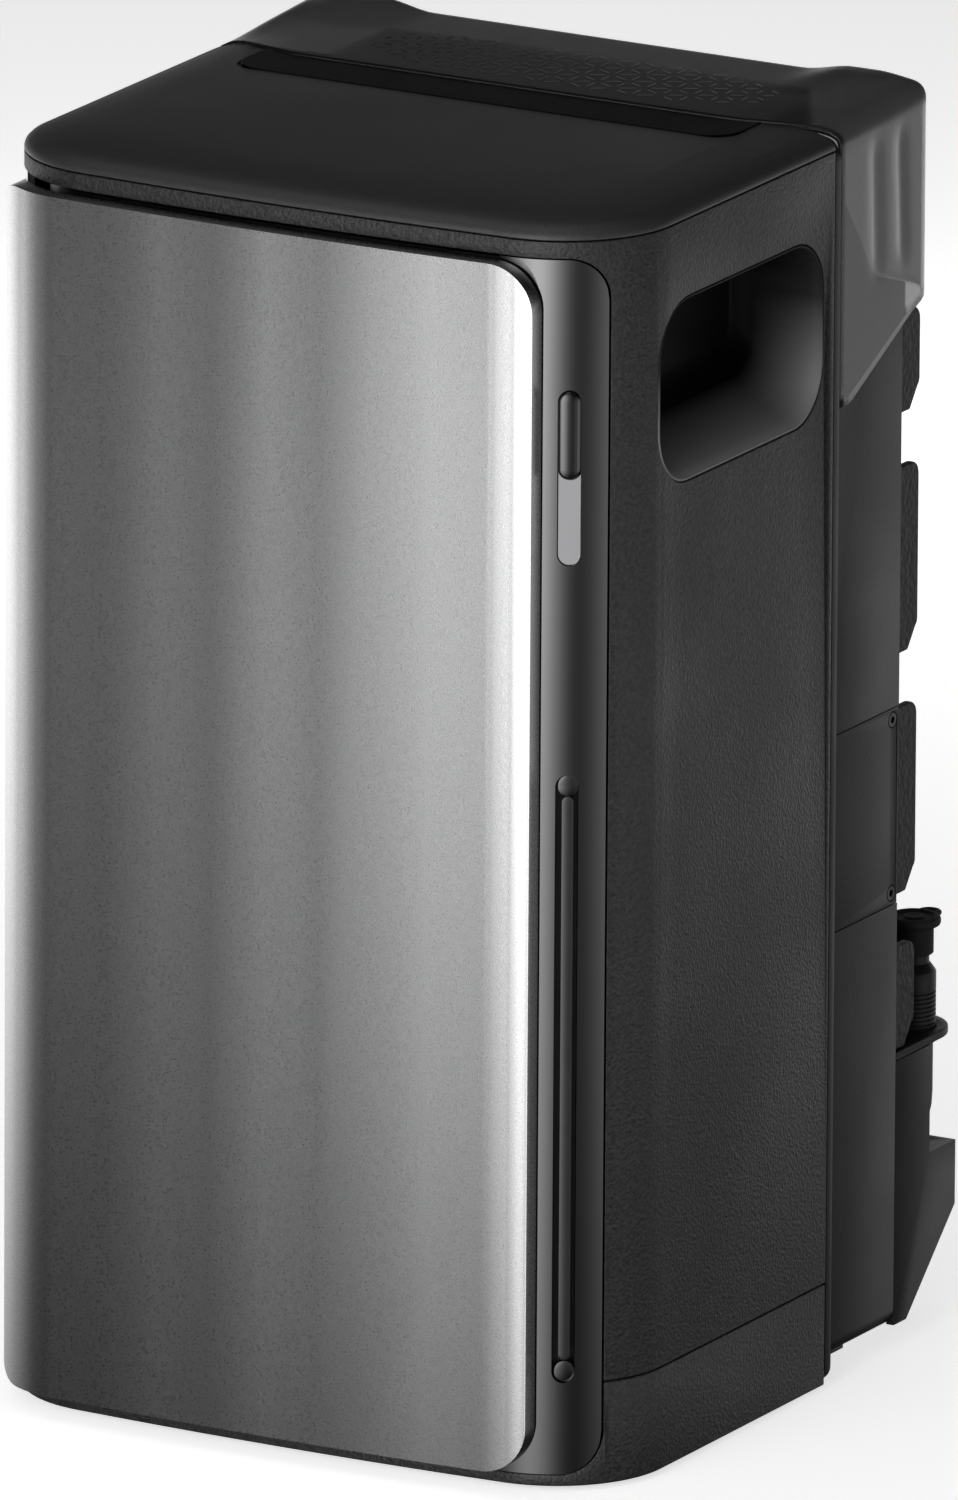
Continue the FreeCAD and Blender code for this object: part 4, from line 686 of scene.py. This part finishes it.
def hood_roof(x, y):
    """Height of the hood's top over a point."""
    inward = hood_half - abs(x)
    level = lid_high.z + HOOD_FRONT_LIFT
    soft = HOOD_SHOULDER * along(LID_FALL, inward / 0.040)
    tight = HOOD_SHOULDER - math.sqrt(max(0, HOOD_SHOULDER ** 2 - max(0, HOOD_SHOULDER - inward) ** 2))
    back = eased(y, 0.036, 0.075)
    side_fall = soft * (1 - back) + tight * back
    ear_across = eased(abs(x), 0.074, 0.094) * (1 - 0.6 * eased(abs(x), 0.104, 0.122))
    ear = EAR_RISE * ear_across * eased(y, 0.066, 0.097)
    behind = max(0, HOOD_BROW - (hood_rear(x) - y))
    rear_fall = HOOD_BROW - math.sqrt(max(0, HOOD_BROW ** 2 - behind ** 2))
    return level + ear - max(side_fall, rear_fall) - 0.3 * min(side_fall, rear_fall)


hood_build = bmesh.new()
columns = []
COLUMN_COUNT, ROW_COUNT = 72, 30
for column in range(COLUMN_COUNT + 1):
    x = hood_half * math.sin(math.pi / 2 * (2 * column / COLUMN_COUNT - 1))
    run = []
    for row in range(ROW_COUNT + 1):
        part = math.sin(math.pi / 2 * row / ROW_COUNT)
        y = hood_front(x) + (hood_rear(x) - hood_front(x)) * part
        run.append(hood_build.verts.new((x, y, hood_roof(x, y))))
    columns.append(run)
for first, second in zip(columns, columns[1:]):
    for row in range(ROW_COUNT):
        hood_build.faces.new((first[row], second[row], second[row + 1], first[row + 1]))
skirt_edge = columns[-1] + [run[-1] for run in reversed(columns[:-1])] + list(reversed(columns[0][:-1]))
SKIRT_STEPS = 26
upper = skirt_edge
for step in range(1, SKIRT_STEPS + 1):
    lower = []
    for top in skirt_edge:
        foot = along(HOOD_LOWER_EDGE, top.co.y)
        part = step / SKIRT_STEPS
        z = top.co.z + (foot - top.co.z) * part
        press = 0.0
        if abs(top.co.x) > hood_half - 0.0002:
            for place, spread_y in CHANNELS:
                press += math.exp(-(((top.co.y - place - 0.004 * part) / spread_y) ** 2))
            press *= CHANNEL_DEPTH * eased(z, 0.392, 0.404) * (1 - eased(z, 0.438, 0.450))
        x = top.co.x - math.copysign(press, top.co.x)
        lower.append(hood_build.verts.new((x, top.co.y, z)))
    for (a, b), (c, d) in zip(zip(upper, upper[1:]), zip(lower, lower[1:])):
        hood_build.faces.new((a, c, d, b))
    upper = lower
hood_mesh = bpy.data.meshes.new("hood_shell")
hood_build.normal_update()
hood_build.to_mesh(hood_mesh)
hood_build.free()
for face in hood_mesh.polygons:
    face.use_smooth = True
hood_shell = bpy.data.objects.new("hood_shell", hood_mesh)
bpy.context.scene.collection.objects.link(hood_shell)
thick = hood_shell.modifiers.new("wall", "SOLIDIFY")
thick.thickness = HOOD_WALL
thick.offset = -1

smoke, tree, shader, where = finish("smoky_polycarbonate", (0.22, 0.22, 0.224, 1), 0.14, specular=0.35)
shader.inputs["Transmission Weight"].default_value = 0.95
shader.inputs["IOR"].default_value = 1.45
relief(tree, shader, grain(tree, where, 1500, 2), 0.00003)
tree.links.new(spread(tree, grain(tree, where, 10, 3), 0.12, 0.18), shader.inputs["Roughness"])
hood_mesh.materials.append(smoke)
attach(hood_shell, "hood")
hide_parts("rain_hood")

# Etched on the hood: a field of short dashes, the edges of a net of triangles cut short.
DASH_PITCH = 0.0107
DASH_LENGTH = 0.0058
DASH_WIDTH = 0.00042
DASH_FIELD = (-0.072, 0.085, 0.036, 0.0775)
DASH_SINK = 0.00018
# A dash with its corners cut off, in halves of its length and width.
DASH_SHAPE = ((-1, -0.6), (-0.94, -1), (0.94, -1), (1, -0.6), (1, 0.6), (0.94, 1), (-0.94, 1), (-1, 0.6))
dash_build = bmesh.new()
for i in range(-16, 17):
    for j in range(-16, 17):
        for turn_deg, shift in ((30, 0), (-30, 1), (90, 2)):
            heading = math.radians(turn_deg)
            x = DASH_PITCH * math.cos(math.pi / 6) * (i + j) + DASH_PITCH / 2 * math.cos(heading) + 0.004
            y = DASH_PITCH / 2 * (i - j) + DASH_PITCH / 2 * math.sin(heading) + 0.0565
            left, right, front, rear = DASH_FIELD
            slant = (y - (front + rear) / 2) * (0.35 if x > 0 else 0.1)
            if not (left + slant < x < right + slant * 0.2 and front < y < rear):
                continue
            if abs(y - (front + rear) / 2) > 0.0215 - 0.35 * max(0, abs(x - 0.006) - 0.048):
                continue
            length = DASH_LENGTH * (1 - 0.3 * eased(abs(x - 0.006), 0.03, 0.08))
            ahead_x, ahead_y = math.cos(heading) * length / 2, math.sin(heading) * length / 2
            across_x, across_y = -math.sin(heading) * DASH_WIDTH / 2, math.cos(heading) * DASH_WIDTH / 2
            ring = []
            for along_sign, across_sign in DASH_SHAPE:
                px = x + ahead_x * along_sign + across_x * across_sign
                py = y + ahead_y * along_sign + across_y * across_sign
                ring.append(dash_build.verts.new((px, py, hood_roof(px, py) + DASH_SINK)))
            dash_build.faces.new(ring)
dash_mesh = bpy.data.meshes.new("hood_dashes")
dash_build.to_mesh(dash_mesh)
dash_build.free()
hood_dashes = bpy.data.objects.new("hood_dashes", dash_mesh)
bpy.context.scene.collection.objects.link(hood_dashes)
etched, tree, shader, where = finish("etched_dashes_painted_light", (0.1, 0.1, 0.1, 1), 0.5)
# Painted shade and painted highlight: the dashes' colour runs from near-black on the left as painted shade
# to light grey on the right as painted highlight.
place = tree.nodes.new("ShaderNodeSeparateXYZ")
tree.links.new(where, place.inputs[0])
across = spread(tree, place.outputs["X"], 0, 1, -0.06, 0.035)
tint(tree, shader, across, (0.004, 0.004, 0.004, 1), (0.42, 0.42, 0.42, 1), 0, 1)
tree.links.new(spread(tree, grain(tree, where, 900, 2), 0.4, 0.6), shader.inputs["Roughness"])
dash_mesh.materials.append(etched)
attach(hood_dashes, "hood")


# ---------------------------------------------------------------------------------------
# Rear fittings: two mains outlets under the hood, and the shelf with four solar connectors.
dress(plain_paint, "mains_outlet_left", "mains_outlet_right", "connector_shelf", "cable_bracket")
soften(0.0006, "mains_outlet_left", "mains_outlet_right", "connector_shelf", "cable_bracket")

CONNECTOR_RADIUS = 0.008
SLEEVE_RADIUS = 0.0071
NECK_RADIUS = 0.0055
CAP_RADIUS = 0.0095
CAP_STEM = 0.007
CAP_DISC = 0.0035
TAB_RADIUS = 0.0045
TAB_HOLE = 0.0022
shelf_low, shelf_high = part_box("connector_shelf")


def turned(build, x, y, profile):
    """A piece turned about an upright axis from radius and height pairs."""
    rings = []
    for radius, z in profile:
        ring = []
        for step in range(72):
            turn = 2 * math.pi * step / 72
            ring.append(build.verts.new((x + radius * math.cos(turn), y + radius * math.sin(turn), z)))
        rings.append(ring)
    for first, second in zip(rings, rings[1:]):
        for i in range(72):
            j = (i + 1) % 72
            build.faces.new((first[i], first[j], second[j], second[i]))
    build.faces.new(rings[-1])
    build.faces.new(list(reversed(rings[0])))


def connector(node):
    """The socket body: ribbed sleeve above the shelf, shoulder, neck, and a rounded tail below."""
    low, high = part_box(node)
    x, y = (low.x + high.x) / 2, (low.y + high.y) / 2
    shoulder = high.z - 0.010
    profile = [(0.0030, low.z), (0.0046, low.z + 0.0006), (0.0060, low.z + 0.0024), (0.0068, low.z + 0.006),
               (SLEEVE_RADIUS, low.z + 0.011), (SLEEVE_RADIUS, shelf_low.z - 0.003),
               (CONNECTOR_RADIUS, shelf_low.z - 0.0026), (CONNECTOR_RADIUS, shelf_high.z + 0.0012)]
    z = shelf_high.z + 0.0012
    for rib in range(8):
        profile += [(CONNECTOR_RADIUS - 0.0006, z + 0.0002), (CONNECTOR_RADIUS - 0.0006, z + 0.0007),
                    (CONNECTOR_RADIUS, z + 0.0009), (CONNECTOR_RADIUS, z + 0.0016)]
        z += 0.0016
    profile += [(CONNECTOR_RADIUS, shoulder - 0.0032), (CONNECTOR_RADIUS - 0.0005, shoulder - 0.0024),
                (NECK_RADIUS + 0.0004, shoulder - 0.0002), (NECK_RADIUS, shoulder),
                (NECK_RADIUS, shoulder + 0.003),
                (NECK_RADIUS - 0.001, shoulder + 0.003), (NECK_RADIUS - 0.001, high.z)]
    build = bmesh.new()
    turned(build, x, y, profile)
    body = new_piece(node + "_turned", build, plain_paint, smooth_angle=35)
    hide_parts(node)


def dust_cap(node, body):
    """The rubber cap: plain stem, thick rolled disc with a ridge on top, and a pull ring."""
    low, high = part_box(node)
    x = (low.x + high.x) / 2
    y = low.y + CAP_RADIUS
    disc = high.z - CAP_DISC
    profile = [
        (NECK_RADIUS - 0.0004, low.z), (CAP_STEM - 0.0004, low.z), (CAP_STEM, low.z + 0.0004),
        (CAP_STEM, disc - 0.0010), (CAP_STEM + 0.0005, disc - 0.0002), (CAP_RADIUS - 0.0009, disc),
        (CAP_RADIUS - 0.0003, disc + 0.0004), (CAP_RADIUS, disc + 0.0012), (CAP_RADIUS, high.z - 0.0012),
        (CAP_RADIUS - 0.0003, high.z - 0.0004), (CAP_RADIUS - 0.0010, high.z), (CAP_RADIUS - 0.0018, high.z),
        (CAP_RADIUS - 0.0024, high.z - 0.0007), (0.0040, high.z - 0.0008), (0.0034, high.z - 0.0001),
        (0.0024, high.z), (0.0010, high.z - 0.0003),
    ]
    build = bmesh.new()
    turned(build, x, y, profile)
    ring_y = high.y - TAB_RADIUS
    ring_z = disc + CAP_DISC / 2
    half = (TAB_RADIUS - TAB_HOLE) / 2
    mid = (TAB_RADIUS + TAB_HOLE) / 2
    loops = []
    for step in range(40):
        turn = 2 * math.pi * step / 40
        loop = []
        for part in range(12):
            round_turn = 2 * math.pi * part / 12
            reach = mid + half * math.cos(round_turn)
            loop.append(build.verts.new((x + reach * math.cos(turn), ring_y + reach * math.sin(turn),
                                         ring_z + half * 0.8 * math.sin(round_turn))))
        loops.append(loop)
    for i in range(40):
        here, ahead = loops[i], loops[(i + 1) % 40]
        for k in range(12):
            after = (k + 1) % 12
            build.faces.new((here[k], here[after], ahead[after], ahead[k]))
    cap = new_piece(node + "_moulded", build, rubber, body, smooth_angle=40)
    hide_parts(node)


for number in range(1, 5):
    connector(f"solar_connector_{number}")
    dust_cap(f"dust_cap_{number}", f"cap_{number}")


# ---------------------------------------------------------------------------------------
# Inside: the battery, the inverter and the small boards.
steel, tree, shader, where = finish("zinc_steel", (0.5, 0.5, 0.5, 1), 0.4, metallic=1.0)
tree.links.new(spread(tree, grain(tree, where, 150, 4), 0.3, 0.5), shader.inputs["Roughness"])
dress(steel, "cell_tray", "tie_rods", "board_standoffs")
wrap, tree, shader, where = finish("cell_wrap", (0.05, 0.12, 0.3, 1), 0.35)
tint(tree, shader, grain(tree, where, 40, 4), (0.04, 0.1, 0.26, 1), (0.06, 0.14, 0.34, 1))
dress(wrap, "battery_cells")
copper, tree, shader, where = finish("plated_copper", (0.8, 0.5, 0.35, 1), 0.35, metallic=1.0)
tree.links.new(spread(tree, grain(tree, where, 200, 4), 0.25, 0.45), shader.inputs["Roughness"])
dress(copper, "busbars", "inductors")
board, tree, shader, where = finish("solder_mask", (0.01, 0.09, 0.04, 1), 0.35)
tint(tree, shader, grain(tree, where, 400, 2), (0.008, 0.07, 0.03, 1), (0.015, 0.11, 0.05, 1))
dress(board, "battery_board", "inverter_board", "display_board", "radio_board", "light_board")
dress(plain_paint, "cell_clamp_plate", "tray_legs", "power_modules", "capacitors")
pad, tree, shader, where = finish("thermal_pad", (0.4, 0.45, 0.5, 1), 0.8)
tint(tree, shader, grain(tree, where, 200, 2), (0.36, 0.41, 0.46, 1), (0.44, 0.49, 0.54, 1))
dress(pad, "thermal_pads")
